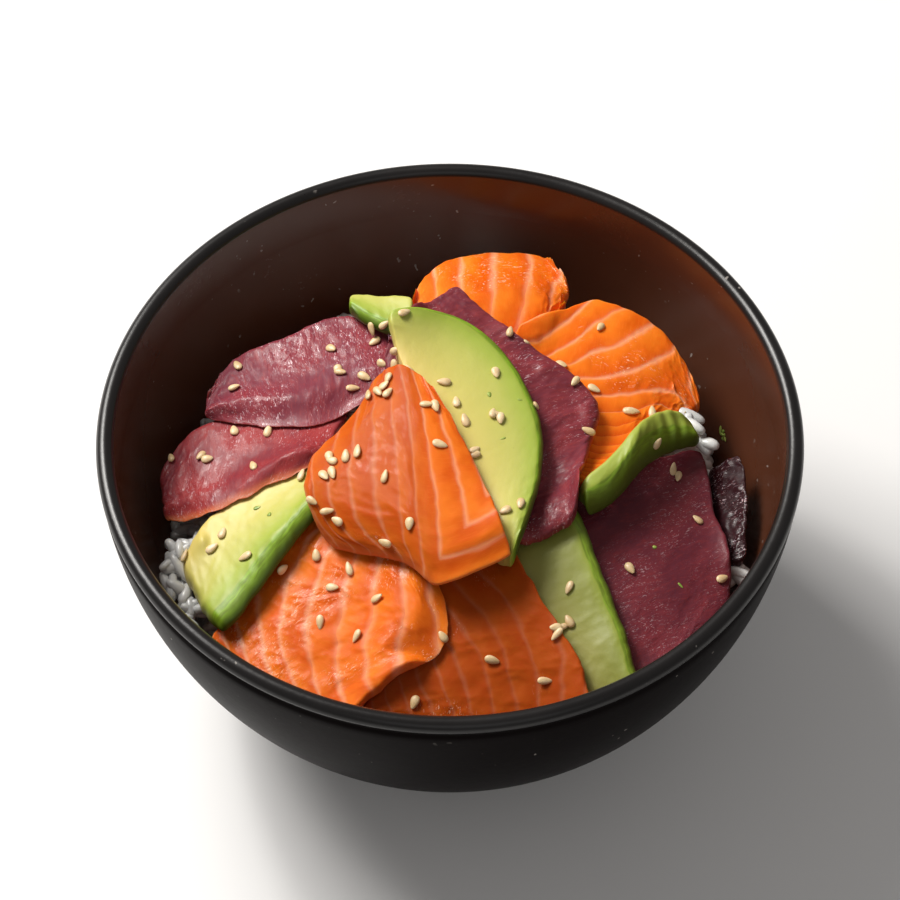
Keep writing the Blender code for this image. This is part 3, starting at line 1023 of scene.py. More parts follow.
@dataclass
class SliceShape:
    """The fine surface of one slice, settled on what lies beneath it.

    spec: the slice. heights: what lies beneath it, to which its own upper face is added.
    spacing: its grid, in millimetres. control: the coarse grid that it settles on. border: grid lines
    by each edge. gap: the air kept under it. air: the most it stands clear of what it lies on.
    wall_limit: the radius at which the bowl's wall stops it. fade: how far a taper takes to end.
    """

    spec: SliceSpec
    heights: HeightField
    spacing: float = 0.45
    control: float = 1.3
    border: tuple[float, ...] = (0.0, 0.07, 0.18, 0.36, 0.62, 0.95, 1.35, 1.8)
    gap: float = 0.15
    air: float = 30.0
    wall_limit: float = 72.6
    fade: float = 0.10

    def __post_init__(self) -> None:
        """Works out both faces, on a grid from -1 to 1 each way, and adds the upper one to the heights."""
        ends = np.linspace(-1, 1, 21)
        probe = loft(self.spec.rails, *np.meshgrid(ends, ends, indexing="ij"))
        self.length = float(np.linalg.norm(np.diff(probe, axis=0), axis=-1).sum(axis=0).mean())
        self.width = float(np.linalg.norm(np.diff(probe, axis=1), axis=-1).sum(axis=1).mean())
        along, across = self.lines(self.length), self.lines(self.width)
        self.a, self.b = np.meshgrid(along, across, indexing="ij")
        self.u, self.v = self.a * self.length / 2, self.b * self.width / 2
        self.build_faces(self.face(self.a, self.b), self.settled(along, across))
        self.raise_heights()

    def lines(self, length: float) -> Array:
        """Grid lines over a length: close together near both edges, then about spacing apart.

        Args:
            length: The length, in millimetres.

        Returns:
            The lines, from -1 to 1.
        """
        inner = max(4, int(round((length - 2 * self.border[-1]) / self.spacing)))
        start = np.array(self.border[:-1])
        middle = np.linspace(self.border[-1], length - self.border[-1], inner)
        return np.concatenate([start, middle, length - start[::-1]]) * 2 / length - 1

    def face(self, a: Array, b: Array) -> Array:
        """The upper face before it settles: the loft, arched, with drawn-in corners and a wandering outline.

        Args:
            a: Places along, from -1 to 1.
            b: Places across.

        Returns:
            The points of the face, none of them past the bowl's wall.
        """
        spec = self.spec
        along = a * (1 - spec.corner * b**8)
        across = b * (1 - spec.corner * a**8)
        top = loft(spec.rails, along, across)
        top[..., 2] += spec.arch * (1 - across**2)
        u, v = a * self.length / 2, b * self.width / 2
        for axis in (0, 1):
            wander = soft_noise(u / 7 + 9.3 * axis, v / 7 + 3.1, spec.seed + 11 * axis, 3)
            top[..., axis] += spec.ragged * self.spread(top) * wander
        radius = np.hypot(top[..., 0], top[..., 1])
        held = np.where(radius > self.wall_limit, self.wall_limit / np.maximum(radius, 1e-6), 1.0)
        top[..., :2] *= held[..., None]
        return top

    @staticmethod
    def spread(face: Array) -> Array:
        """How wide each line across is against the widest, so that small relief dies away at narrow ends."""
        width = np.linalg.norm(np.diff(face, axis=1), axis=-1).sum(axis=1)
        return np.clip(width / (0.6 * width.max()), 0.0, 1.0)[:, None]

    def folded(self, b: Array) -> Array:
        """How far the end edge counts as folded under: 1 up to the place where the fold stops, then 0."""
        rounding, stop = self.spec.fold
        return (1 - eased(b, stop - self.fade, stop + self.fade)) * (rounding > 0)

    def thickness(self, face: Array, a: Array, b: Array) -> Array:
        """Upright thickness: the slice's own over the cosine of its slope, thinned at the taper.

        Args:
            face: The upper face.
            a: Places along, from -1 to 1.
            b: Places across.

        Returns:
            The thickness at each point, in millimetres.
        """
        spec = self.spec
        normal = np.cross(np.gradient(face, axis=0), np.gradient(face, axis=1))
        slope = np.linalg.norm(normal, axis=-1) / np.maximum(np.abs(normal[..., 2]), 1e-9)
        thin = np.ones_like(a)
        if spec.taper[0]:
            kept = eased(a, spec.taper[1] - self.fade, spec.taper[1] + self.fade)
            thin = np.maximum(0.10 + 0.90 * eased((1 - b) * self.width / 2, 0.0, spec.taper[0]), kept)
        if spec.thin_end:
            kept = np.maximum(eased((1 - a) * self.length / 2, 0.0, spec.thin_end), self.folded(b))
            thin = 0.35 + 0.65 * kept
        return spec.thick * np.clip(slope, 1.0, spec.steepest) * thin

    def settled(self, along: Array, across: Array) -> Array:
        """Height of the underside: found on a coarse grid, smoothed, then read on the fine one.

        It is held off the ground by its own shape, the clearance c pressed to air * tanh(c / air),
        smoothed over the limp length, and never lower than the ground.

        Args:
            along: The fine grid's lines along, from -1 to 1.
            across: Its lines across.

        Returns:
            The height on the fine grid.
        """
        spec = self.spec
        na, nb = (max(8, int(round(size / self.control))) for size in (self.length, self.width))
        a, b = np.meshgrid(np.linspace(-1, 1, na), np.linspace(-1, 1, nb), indexing="ij")
        face = self.face(a, b)
        under = self.heights.at(self.heights.raised(), face[..., 0], face[..., 1]) + self.gap
        clear = np.maximum(face[..., 2] - self.thickness(face, a, b) - under, 0.0)
        inward = np.minimum((1 - np.abs(a)) * self.length, (1 - np.abs(b)) * self.width) / 2
        hug = spec.hug * np.exp(-((inward / 5.0) ** 2)) * np.exp(-((clear / 6.0) ** 4))
        low = under + self.air * np.tanh(clear / self.air) * (1 - hug)
        for _ in range(int(4 * (spec.limp / self.control) ** 2)):
            low = np.maximum(smoothed(low, 1), under)
        fine = cubic_weights(along, na) @ smoothed(low, 3) @ cubic_weights(across, nb).T
        for a0, b0, reach_a, reach_b, rise in spec.bumps:
            fine = fine + rise * np.exp(-(((self.a - a0) / reach_a) ** 2) - ((self.b - b0) / reach_b) ** 2)
        return fine

    def edge_share(self) -> Array:
        """How far in from the cut edge each point counts as being.

        Returns:
            From 0 on the outline to 1 inside: over each edge's rounding r, (1 - (1 - e / r)^p)^(1 / p).
        """
        spec, avocado = self.spec, self.spec.kind is Kind.AVOCADO
        start, end, first, last = spec.cut
        end = end + (spec.fold[0] - end) * self.folded(self.b)
        edges = (((1 + self.a) * self.length / 2, start, 2.3), ((1 - self.a) * self.length / 2, end, 2.3),
                 ((1 + self.b) * self.width / 2, first, 2.3),
                 ((1 - self.b) * self.width / 2, spec.rind if avocado else last, 1.7 if avocado else 2.3))
        share = np.ones_like(self.a)
        for inward, rounding, power in edges:
            near = 1 - np.clip(inward / rounding, 0.0, 1.0)
            share = share * np.maximum(1 - near**power, 0.0) ** (1 / power)
        return share

    def count(self, terms: Terms) -> Array:
        """Sum of amount * along^p * across^q over the terms."""
        return sum(amount * self.a**p * self.b**q for p, q, amount in terms)

    def flake_phase(self) -> Array:
        """The flake count at each place, with a slow waver.

        Returns:
            The count; a line of fat lies at each whole number.
        """
        spec = self.spec
        phase = self.count(spec.flakes)
        if spec.second:
            phase = np.minimum(phase, self.count(spec.second))
        return phase + 0.09 * soft_noise(self.u / 9, self.v / 9, spec.seed + 70, 2)

    def relief(self, phase: Array) -> Array:
        """Small shape of the upper face: sums of soft noise.

        Salmon swells between its lines of fat; tuna is wrinkled along its grain; avocado has
        shallow dents.

        Args:
            phase: The flake count.

        Returns:
            The relief, in millimetres.
        """
        u, v, seed = self.u, self.v, self.spec.seed
        if self.spec.kind is Kind.SALMON:
            swell = 0.07 * np.abs(np.sin(math.pi * phase)) ** 0.7
            return (swell + 0.12 * soft_noise(u / 4.5, v / 3.6, seed + 31)
                    + 0.02 * soft_noise(u / 0.9, v / 0.9, seed + 32, 2))
        if self.spec.kind is Kind.AVOCADO:
            dents = 0.12 * soft_noise(u / 6, v / 6, seed + 33)
            return dents + 0.03 * soft_noise(u / 1.4, v / 1.4, seed + 34, 2)
        return 0.09 * soft_noise(u / 3.0, v / 6.0, seed + 35) + 0.06 * soft_noise(u / 1.1, v / 2.0, seed + 36)

    def build_faces(self, face: Array, low: Array) -> None:
        """Sets the upper and lower faces, which meet half way up the cut edge.

        Args:
            face: The upper face before it settles.
            low: Height of the underside.
        """
        self.share, self.phase = self.edge_share(), self.flake_phase()
        thick = self.thickness(face, self.a, self.b)
        middle = low + thick / 2
        relief = self.relief(self.phase) * self.spec.uneven * self.spread(face)
        relief = relief * np.clip(thick / self.spec.thick, 0.0, 1.0)
        self.top, self.low = face.copy(), face.copy()
        self.top[..., 2] = middle + self.share * (thick / 2 + relief)
        self.low[..., 2] = middle - self.share * thick / 2

    def raise_heights(self) -> None:
        """Adds the upper face to the heights, with places between its points."""
        g = self.top
        for s in (0.0, 0.5):
            for t in (0.0, 0.5):
                near = (1 - s) * g[:-1, :-1] + s * g[1:, :-1]
                far = (1 - s) * g[:-1, 1:] + s * g[1:, 1:]
                self.heights.add((1 - t) * near + t * far)

    def marks(self) -> dict[str, Array]:
        """What the finishes read: numbers on the grid's points, by name.

        Returns:
            The numbers, with only the ones that this kind of slice needs.
        """
        spec = self.spec
        to_last = (1 - self.b) * self.width / 2
        marks = {"edge": 1 - self.share,
                 "wet": np.full_like(self.a, spec.wet),
                 "warm": np.full_like(self.a, spec.warm),
                 "fatty": spec.fatty * (1 - 0.93 * eased(self.b, *spec.plain)),
                 # Painted shade, fading out across the lit places.
                 "dim": spec.dim * (1 - 0.7 * eased(self.b, *spec.lit))}
        if spec.kind is Kind.SALMON:
            marks["flake"] = self.phase
        elif spec.kind is Kind.AVOCADO:
            marks["rim"] = np.clip((to_last - spec.rind) / spec.green, 0.0, 1.0)
            marks["rind"] = 1 - np.clip(to_last / (0.95 * spec.rind), 0.0, 1.0)
        else:
            marks["sheer"] = 0.6 * (1 - eased(to_last, 0.0, max(spec.sheer, 0.01)))
        return marks

    def build(self, material: bpy.types.Material) -> None:
        """Makes the closed piece, whose faces share the points of the outline, and dresses it.

        Args:
            material: The flesh's material.
        """
        n, m = self.a.shape
        upper = np.arange(n * m).reshape(n, m)
        lower = upper.copy()
        lower[1:-1, 1:-1] = n * m + np.arange((n - 2) * (m - 2)).reshape(n - 2, m - 2)
        points = np.concatenate([self.top.reshape(-1, 3), self.low[1:-1, 1:-1].reshape(-1, 3)])
        over, under = grid_cells(upper), grid_cells(lower)[:, ::-1]
        du, dv = self.top[-1, 0] - self.top[0, 0], self.top[0, -1] - self.top[0, 0]
        if du[0] * dv[1] - du[1] * dv[0] < 0:
            over, under = over[:, ::-1], under[:, ::-1]

        def both(values: Array) -> Array:
            """The values on the upper face, then on the lower one's inner points."""
            return np.concatenate([values.ravel(), values[1:-1, 1:-1].ravel()])

        surface = np.stack([both(self.u), both(self.v)], axis=-1) / 100.0
        marks = {name: both(values) for name, values in self.marks().items()}
        piece = make_piece(self.spec.node + "_cut", points, np.concatenate([over, under]), marks, surface)
        dress(piece, [material], self.spec.node)


# The dim values paint shade on slices, or parts of them, that lie in shadow; lit says across which it fades.
SLICES: tuple[SliceSpec, ...] = (
    # A dark slice standing by the wall; dim=0.88 paints it nearly black with shade.
    SliceSpec("tuna_edge", Kind.TUNA_DARK, (
        ((68, 9, 58), (69, -6, 58), (67, -21, 57)),
        ((60.5, 8, 53), (61, -7, 53), (60.5, -21, 53))), 2.6,
        arch=0.0, uneven=2.5, wet=1.0, dim=0.88, seed=3),
    SliceSpec("tuna_right", Kind.TUNA_DARK, (
        ((27, -9, 62), (29, -23, 63), (33, -40, 61), (40, -59, 58)),
        ((60.5, 14, 56), (61.5, -7, 57), (64, -26, 57), (55, -48, 58))), 3.6,
        arch=0.9, uneven=0.6, wet=0.35, dim=0.05, warm=0.75, seed=5),
    # dim paints the shade that the middle of the heap casts on this slice.
    SliceSpec("avocado_front", Kind.AVOCADO, (
        ((12, -20, 66), (18, -36, 65), (24, -48, 62), (30, -63, 58)),
        ((29, -14, 66), (34, -30, 65), (38.5, -44, 62), (42, -58, 59))), 5.0,
        limp=7.0, ragged=0.3, uneven=0.5, rind=2.8, green=45.0, dim=0.62, lit=(0.35, 0.85), seed=7),
    # dim paints the shade that salmon_top casts on this slice.
    SliceSpec("salmon_front_right", Kind.SALMON, (
        ((-12, -22, 67), (-14, -44, 63.5), (-22, -66, 55)),
        ((12, -22, 67), (19.5, -37, 67), (26.5, -49, 64), (33, -64, 59))), 3.2,
        flakes=((0, 0, 1.34), (0, 1, 3.25), (0, 2, -0.55), (1, 0, -1.76), (1, 1, 2.71), (2, 0, 0.45)),
        wet=0.15, dim=0.80, fatty=0.8, seed=9),
    SliceSpec("salmon_front_left", Kind.SALMON, (
        ((-26, -10, 66), (-37, -20, 62.5), (-46, -29, 58), (-55.5, -40.5, 53)),
        ((-5, -24, 68), (-2, -37, 68), (-1, -49, 65), (-11, -56, 61.5), (-24, -66, 56))), 3.2,
        flakes=((0, 0, 5.28), (0, 1, 3.00), (0, 2, -0.20), (1, 0, -1.55), (1, 1, -0.28), (2, 0, -1.84)),
        bumps=((0.36, 0.97, 0.16, 0.10, 1.0), (0.45, 0.74, 0.25, 0.10, -0.6)),
        taper=(8.0, 0.20), dim=0.17, seed=11),
    SliceSpec("salmon_back", Kind.SALMON, (
        ((-10, 44, 68), (-4, 58, 67), (13, 65.5, 66), (23, 63.5, 65), (29.5, 57, 63)),
        ((-8, 28, 71), (4, 29, 70), (14, 32, 67.5), (22, 37, 64.5), (27, 46, 61.5))), 3.2,
        flakes=((0, 0, 2.88), (0, 1, 0.63), (0, 2, 0.18), (1, 0, 2.88), (1, 1, -0.18), (2, 0, -0.10)),
        arch=1.4, fatty=0.8, seed=15),
    SliceSpec("salmon_right", Kind.SALMON, (
        ((15, 37, 66), (28, 45.5, 65.5), (34.5, 49.5, 65.5), (43, 48, 65), (54, 38, 62), (60, 23, 58)),
        ((16, 12, 66), (23, -1, 66), (33, -9, 62), (44, 3, 60), (54, 17, 58.5))), 3.2,
        flakes=((0, 0, 6.13), (0, 1, 5.44), (0, 2, 4.05), (0, 3, 1.70), (1, 0, 1.59), (1, 1, -2.45),
                (1, 2, -0.18), (2, 0, -1.02), (2, 1, -1.85), (3, 0, -0.93)),
        wet=0.35, fatty=0.75, plain=(-0.05, 0.25), seed=13),
    SliceSpec("avocado_right", Kind.AVOCADO, (
        ((28.5, -11, 68.5), (36, -4.5, 68.5), (44.5, 7.5, 67), (50, 13, 65), (57, 13.5, 61)),
        ((31, -18, 65), (37, -13, 65), (45, -2, 64), (52, 5, 62.5), (58.5, 9, 60))), 6.0,
        bumps=((0.46, 0.0, 0.07, 0.9, 0.5), (0.64, 0.0, 0.06, 0.9, 0.5), (0.82, 0.0, 0.06, 0.9, 0.5),
               (0.55, 0.0, 0.05, 0.9, -0.5), (0.73, 0.0, 0.05, 0.9, -0.5)),
        arch=0.9, limp=12.0, hug=0.0, cut=(1.6, 2.2, 1.6, 3.0), ragged=0.1, uneven=0.4,
        rind=4.2, green=30.0, dim=0.12, seed=17),
    SliceSpec("avocado_left", Kind.AVOCADO, (
        ((-62, -22, 57), (-56, -12, 60), (-45, -5.5, 63.5), (-32, 2, 66.5)),
        ((-51, -43, 55), (-40.5, -30.5, 59.5), (-33, -20.5, 63), (-26, -11.5, 65.5))), 5.6,
        bumps=((-0.62, -0.72, 0.10, 0.16, 1.6),), arch=0.1, limp=9.0, hug=0.3, steepest=1.3,
        cut=(1.4, 1.2, 1.0, 4.5), ragged=0.4, uneven=0.4, rind=5.0, seed=25),
    SliceSpec("tuna_left", Kind.TUNA, (
        ((-68, 4, 57), (-59, 14.5, 60.5), (-45, 18, 63), (-23, 16, 66.5)),
        ((-66, -9, 55), (-56, -11, 59), (-43, -7.5, 63), (-31, -4, 66))), 2.8,
        cut=(1.0, 1.0, 1.0, 1.2), taper=(6.0, 1.2), steepest=1.4, sheer=2.5, wet=0.55, warm=1.0, seed=19),
    SliceSpec("tuna_back_left", Kind.TUNA, (
        ((-58, 22, 61), (-51, 33, 63), (-38, 38, 66), (-26, 42, 68), (-13, 35, 70.5)),
        ((-57, 15, 60), (-45, 12, 63), (-33, 10, 65), (-24, 13, 68), (-11, 19, 71.5))), 3.6,
        hug=0.9, cut=(1.0, 1.0, 1.0, 1.4), uneven=1.5, taper=(8.0, 1.2), wet=1.0, warm=0.1, seed=21),
    SliceSpec("avocado_back", Kind.AVOCADO, (
        ((-24, 46, 71), (-17, 44, 73), (-9, 42, 75)),
        ((-24, 40, 71), (-17, 34, 73), (-8, 30, 75))), 4.5,
        limp=5.0, ragged=0.3, rind=3.0, seed=23),
    SliceSpec("tuna_centre", Kind.TUNA, (
        ((-16, 28, 73), (-13, 10, 73), (-5, -4, 73), (4, -16, 71), (13, -27, 70)),
        ((2, 49, 70), (16, 32, 72), (34, 16, 69), (31, -2, 69), (29, -21, 68))), 3.6,
        bumps=((-0.2, 0.78, 0.10, 0.10, 0.9), (0.05, 0.70, 0.10, 0.12, -0.7), (0.2, 0.86, 0.08, 0.08, 0.8)),
        cut=(1.0, 2.8, 1.0, 1.2), uneven=2.4, wet=0.6, dim=0.16, warm=0.4, seed=27),
    SliceSpec("avocado_top", Kind.AVOCADO, (
        ((-12, 20, 79), (-9, 11, 79), (-5, 1, 79), (2, -15, 78), (11, -31, 75)),
        ((-15, 31, 77), (2, 32, 77), (17, 16, 77), (21, -6, 76), (14, -33, 75))), 5.0,
        limp=10.0, ragged=0.2, uneven=0.3, rind=1.6, seed=29),
    # dim and lit paint shade on its left side, fading towards its right.
    SliceSpec("salmon_top", Kind.SALMON, (
        ((-18.5, 10, 76.5), (-24, 5, 73), (-32, -5, 69), (-32, -16.5, 68), (-26, -25.5, 67)),
        ((-17, 14.5, 79.5), (-20, 4, 80), (-25, -10, 76), (-25, -21, 73), (-18, -28.5, 68.5)),
        ((-12.5, 16, 81.5), (-13, 3, 82.5), (-14, -14, 80.5), (-13, -25.5, 77), (-9, -33, 72)),
        ((-7.5, 13, 82), (-6, 3, 83), (-5, -14, 83), (-3, -28, 80), (-2, -39.5, 75.5)),
        ((-3.5, 8.5, 81), (0, 1.5, 81), (4, -7, 80), (9, -20, 79), (14, -34, 77))), 3.2,
        flakes=((0, 0, 3.61), (0, 1, 4.24), (0, 2, 0.25), (1, 0, -0.60), (1, 1, 0.95), (2, 0, 0.54)),
        second=((0, 0, 9.61), (0, 1, -0.05), (1, 0, -4.36)),
        corner=0.03, arch=0.0, limp=4.0, hug=0.0, cut=(0.9, 0.9, 3.2, 0.9), ragged=0.3, uneven=0.5,
        fold=(6.0, 0.36), thin_end=7.0, steepest=1.25, wet=0.0, dim=0.58, fatty=0.8, lit=(0.25, 0.65),
        seed=31),
)


# ---------------------------------------------------------------------------------------
# Rice, seeds and flecks
# ---------------------------------------------------------------------------------------


def turned_frames(normal: Array, yaw: Array) -> Array:
    """Axes for scattered things.

    Args:
        normal: The way up of each, n by 3.
        yaw: The angle of each about it.

    Returns:
        For each, a 3 by 3 matrix whose rows are its long way, its short way and its normal.
    """
    heading = np.stack([np.cos(yaw), np.sin(yaw), np.zeros_like(yaw)], axis=-1)
    long = heading - (heading * normal).sum(axis=-1, keepdims=True) * normal
    long /= np.linalg.norm(long, axis=-1, keepdims=True)
    return np.stack([long, np.cross(normal, long), normal], axis=1)


def pod(rings: int, sides: int, taper: float, blunt: float = 1.0) -> Solid:
    """A pointed or blunt ellipsoid of half-lengths 1, lying along X.

    At angle t down its length x is cos(t) and the radius is sin(t)^blunt * (1 + taper * cos(t)),
    divided by the widest.

    Args:
        rings: Rings between its two tips.
        sides: Points on each ring.
        taper: How much fatter its +X half is.
        blunt: A power under 1 that makes its ends blunter.

    Returns:
        Its points, its four-sided faces and its three-sided faces.
    """
    t = np.linspace(0, math.pi, rings + 2)[1:-1]
    radius = np.sin(t) ** blunt * (1 + taper * np.cos(t))
    radius = (radius / radius.max())[:, None]
    angle = np.linspace(0, 2 * math.pi, sides, endpoint=False)
    along = np.repeat(np.cos(t)[:, None], sides, 1)
    body = np.stack([along, radius * np.cos(angle), radius * np.sin(angle)], axis=-1)
    return np.concatenate([body.reshape(-1, 3), [[1.0, 0, 0], [-1.0, 0, 0]]]), *turned_faces(rings, sides)


def scatter(shape: Solid, sizes: Array, frames: Array, places: Array, bend: Array | None = None) -> Solid:
    """Copies of a shape joined into one set of points and faces.

    Args:
        shape: Points, quads and triangles of one copy.
        sizes: Half-lengths of each copy along its own axes.
        frames: Each copy's axes as rows.
        places: Each copy's centre.
        bend: How far each copy's ends droop, in millimetres.

    Returns:
        The joined points, quads and triangles.
    """
    points, quads, caps = shape
    local = points[None] * sizes[:, None]
    if bend is not None:
        local[..., 2] -= bend[:, None] * (points[None, :, 0] ** 2 - 0.4)
    world = np.einsum("nki,nij->nkj", local, frames) + places[:, None]
    shift = (np.arange(len(sizes)) * len(points))[:, None, None]
    return world.reshape(-1, 3), (quads[None] + shift).reshape(-1, 4), (caps[None] + shift).reshape(-1, 3)


@dataclass
class RiceHeap:
    """The heap: a core with bumps, and loose grains on it wherever no slice covers it.

    steps: points around the core. core_drop: how far it lies under the rice's height. clear: the gap
    to the bowl. grain: half-lengths. grains: how many. layer: lowest and highest grain, against the
    rice's height, and buried: the highest under a slice. sink: how far they all sink. tilt: how much
    they lean. wall_gap: how near the wall a grain's middle comes. slice_rise: what counts as covered.
    slice_edge: how far grains go under a slice, in cells of the heights' grid.
    clumps: grains put where rice shows by a slice's edge, as x, y, z, how many and how far apart.
    """

    steps: int = 180
    core_drop: float = 1.5
    clear: float = 0.25
    grain: tuple[float, float, float] = (3.3, 1.45, 1.3)
    grains: int = 1500
    layer: tuple[float, float] = (-1.4, 1.0)
    buried: float = -0.6
    sink: float = 0.3
    tilt: float = 0.28
    wall_gap: float = 1.6
    slice_rise: float = 2.0
    slice_edge: int = 12
    clumps: tuple[tuple[float, float, float, int, float], ...] = (
        (57, 17, 58.5, 3, 1.3), (61, 12.5, 56.5, 2, 0.8), (66, -22, 52, 4, 1.6), (-60, -15, 53, 8, 1.8),
        (-62, -19, 51.5, 7, 1.6), (-61, -25, 50.5, 7, 1.8), (-59, -31, 50, 6, 1.8))
    seed: int = 41

    def build_core(self, material: bpy.types.Material) -> None:
        """A closed heap on a polar grid: up the bowl's inside, over the edge and in to the crown.

        Args:
            material: The rice's material.
        """
        angle = np.linspace(0, 2 * math.pi, self.steps, endpoint=False)
        r_low = np.array([8.0, 20, 31, 40, 48, 54, 58.5, 61.5])
        columns = (r_low, inner_height(r_low) + self.clear)
        low = np.stack([np.repeat(column[:, None], self.steps, 1) for column in columns], axis=-1)
        edge_z = rice_height(RICE_REACH * np.cos(angle), RICE_REACH * np.sin(angle)) - self.core_drop
        edge = np.stack([inner_radius(edge_z) - 0.35, edge_z], axis=-1)[None]
        radius = np.repeat(np.linspace(RICE_REACH - 1.5, 1.0, 70)[:, None], self.steps, 1)
        x, y = radius * np.cos(angle), radius * np.sin(angle)
        lumps = 0.75 * np.abs(soft_noise(x / 4.2, y / 4.2, self.seed, 2))
        lumps = lumps + 0.3 * soft_noise(x / 1.9, y / 1.9, self.seed + 3, 2)
        top = np.stack([radius, rice_height(x, y) - self.core_drop + lumps], axis=-1)
        top[..., 0] = np.minimum(radius, inner_radius(top[..., 1]) - 0.4)
        rows = np.concatenate([low, edge, top])
        places = np.stack([rows[..., 0] * np.cos(angle), rows[..., 0] * np.sin(angle), rows[..., 1]], axis=-1)
        ends = [[0, 0, float(inner_height(0.0)) + self.clear], [0, 0, float(top[-1, 0, 1])]]
        quads, fans = turned_faces(len(rows), self.steps, climbing=True)
        piece = make_piece("rice_core", np.concatenate([places.reshape(-1, 3), ends]), quads, triangles=fans)
        dress(piece, [material], "rice")

    def build_grains(self, heights: HeightField, material: bpy.types.Material) -> None:
        """Lays grains on the uncovered rice, a few deep, and under the slices' edges.

        Args:
            heights: The field after every slice has settled.
            material: The rice's material.
        """
        rng = np.random.default_rng(self.seed)
        covered = heights.z - heights.bare > self.slice_rise
        deep = covered.copy()
        for _ in range(self.slice_edge):
            deep[1:-1, 1:-1] &= deep[:-2, 1:-1] & deep[2:, 1:-1] & deep[1:-1, :-2] & deep[1:-1, 2:]
        radius = RICE_REACH * np.sqrt(rng.uniform(0, 1, self.grains * 6))
        angle = rng.uniform(0, 2 * math.pi, len(radius))
        x, y = radius * np.cos(angle), radius * np.sin(angle)
        keep = ~heights.at(deep, x, y)
        x, y = x[keep][: self.grains], y[keep][: self.grains]
        count = len(x)
        base = rice_height(x, y)
        pull = np.minimum(1.0, (inner_radius(base) - self.wall_gap) / np.maximum(np.hypot(x, y), 1.0))
        x, y = x * pull, y * pull
        layer = rng.uniform(*self.layer, count)
        layer = np.where(heights.at(covered, x, y), np.minimum(layer, self.buried), layer)
        tilts = [rng.normal(0, self.tilt, count) for _ in range(2)]
        normal = np.stack([*tilts, np.ones(count)], axis=-1)
        normal /= np.linalg.norm(normal, axis=-1, keepdims=True)
        sizes = np.array(self.grain) * rng.uniform([0.82, 0.88, 0.88], [1.22, 1.12, 1.12], (count, 3))
        frames = turned_frames(normal, rng.uniform(0, 2 * math.pi, count))
        places = np.stack([x, y, base + layer - self.sink], axis=-1)
        first = 0
        for cx, cy, cz, number, spread in self.clumps:
            off = rng.normal(0, 1, (number, 3)) * (spread, spread, 0.45 * spread)
            places[first : first + number] = (cx, cy, cz) + off
            first += number
        points, quads, caps = scatter(pod(7, 8, 0.10, 0.7), sizes, frames, places, rng.uniform(0, 0.5, count))
        piece = make_piece("rice_grains", points, quads, triangles=caps)
        dress(piece, [material])


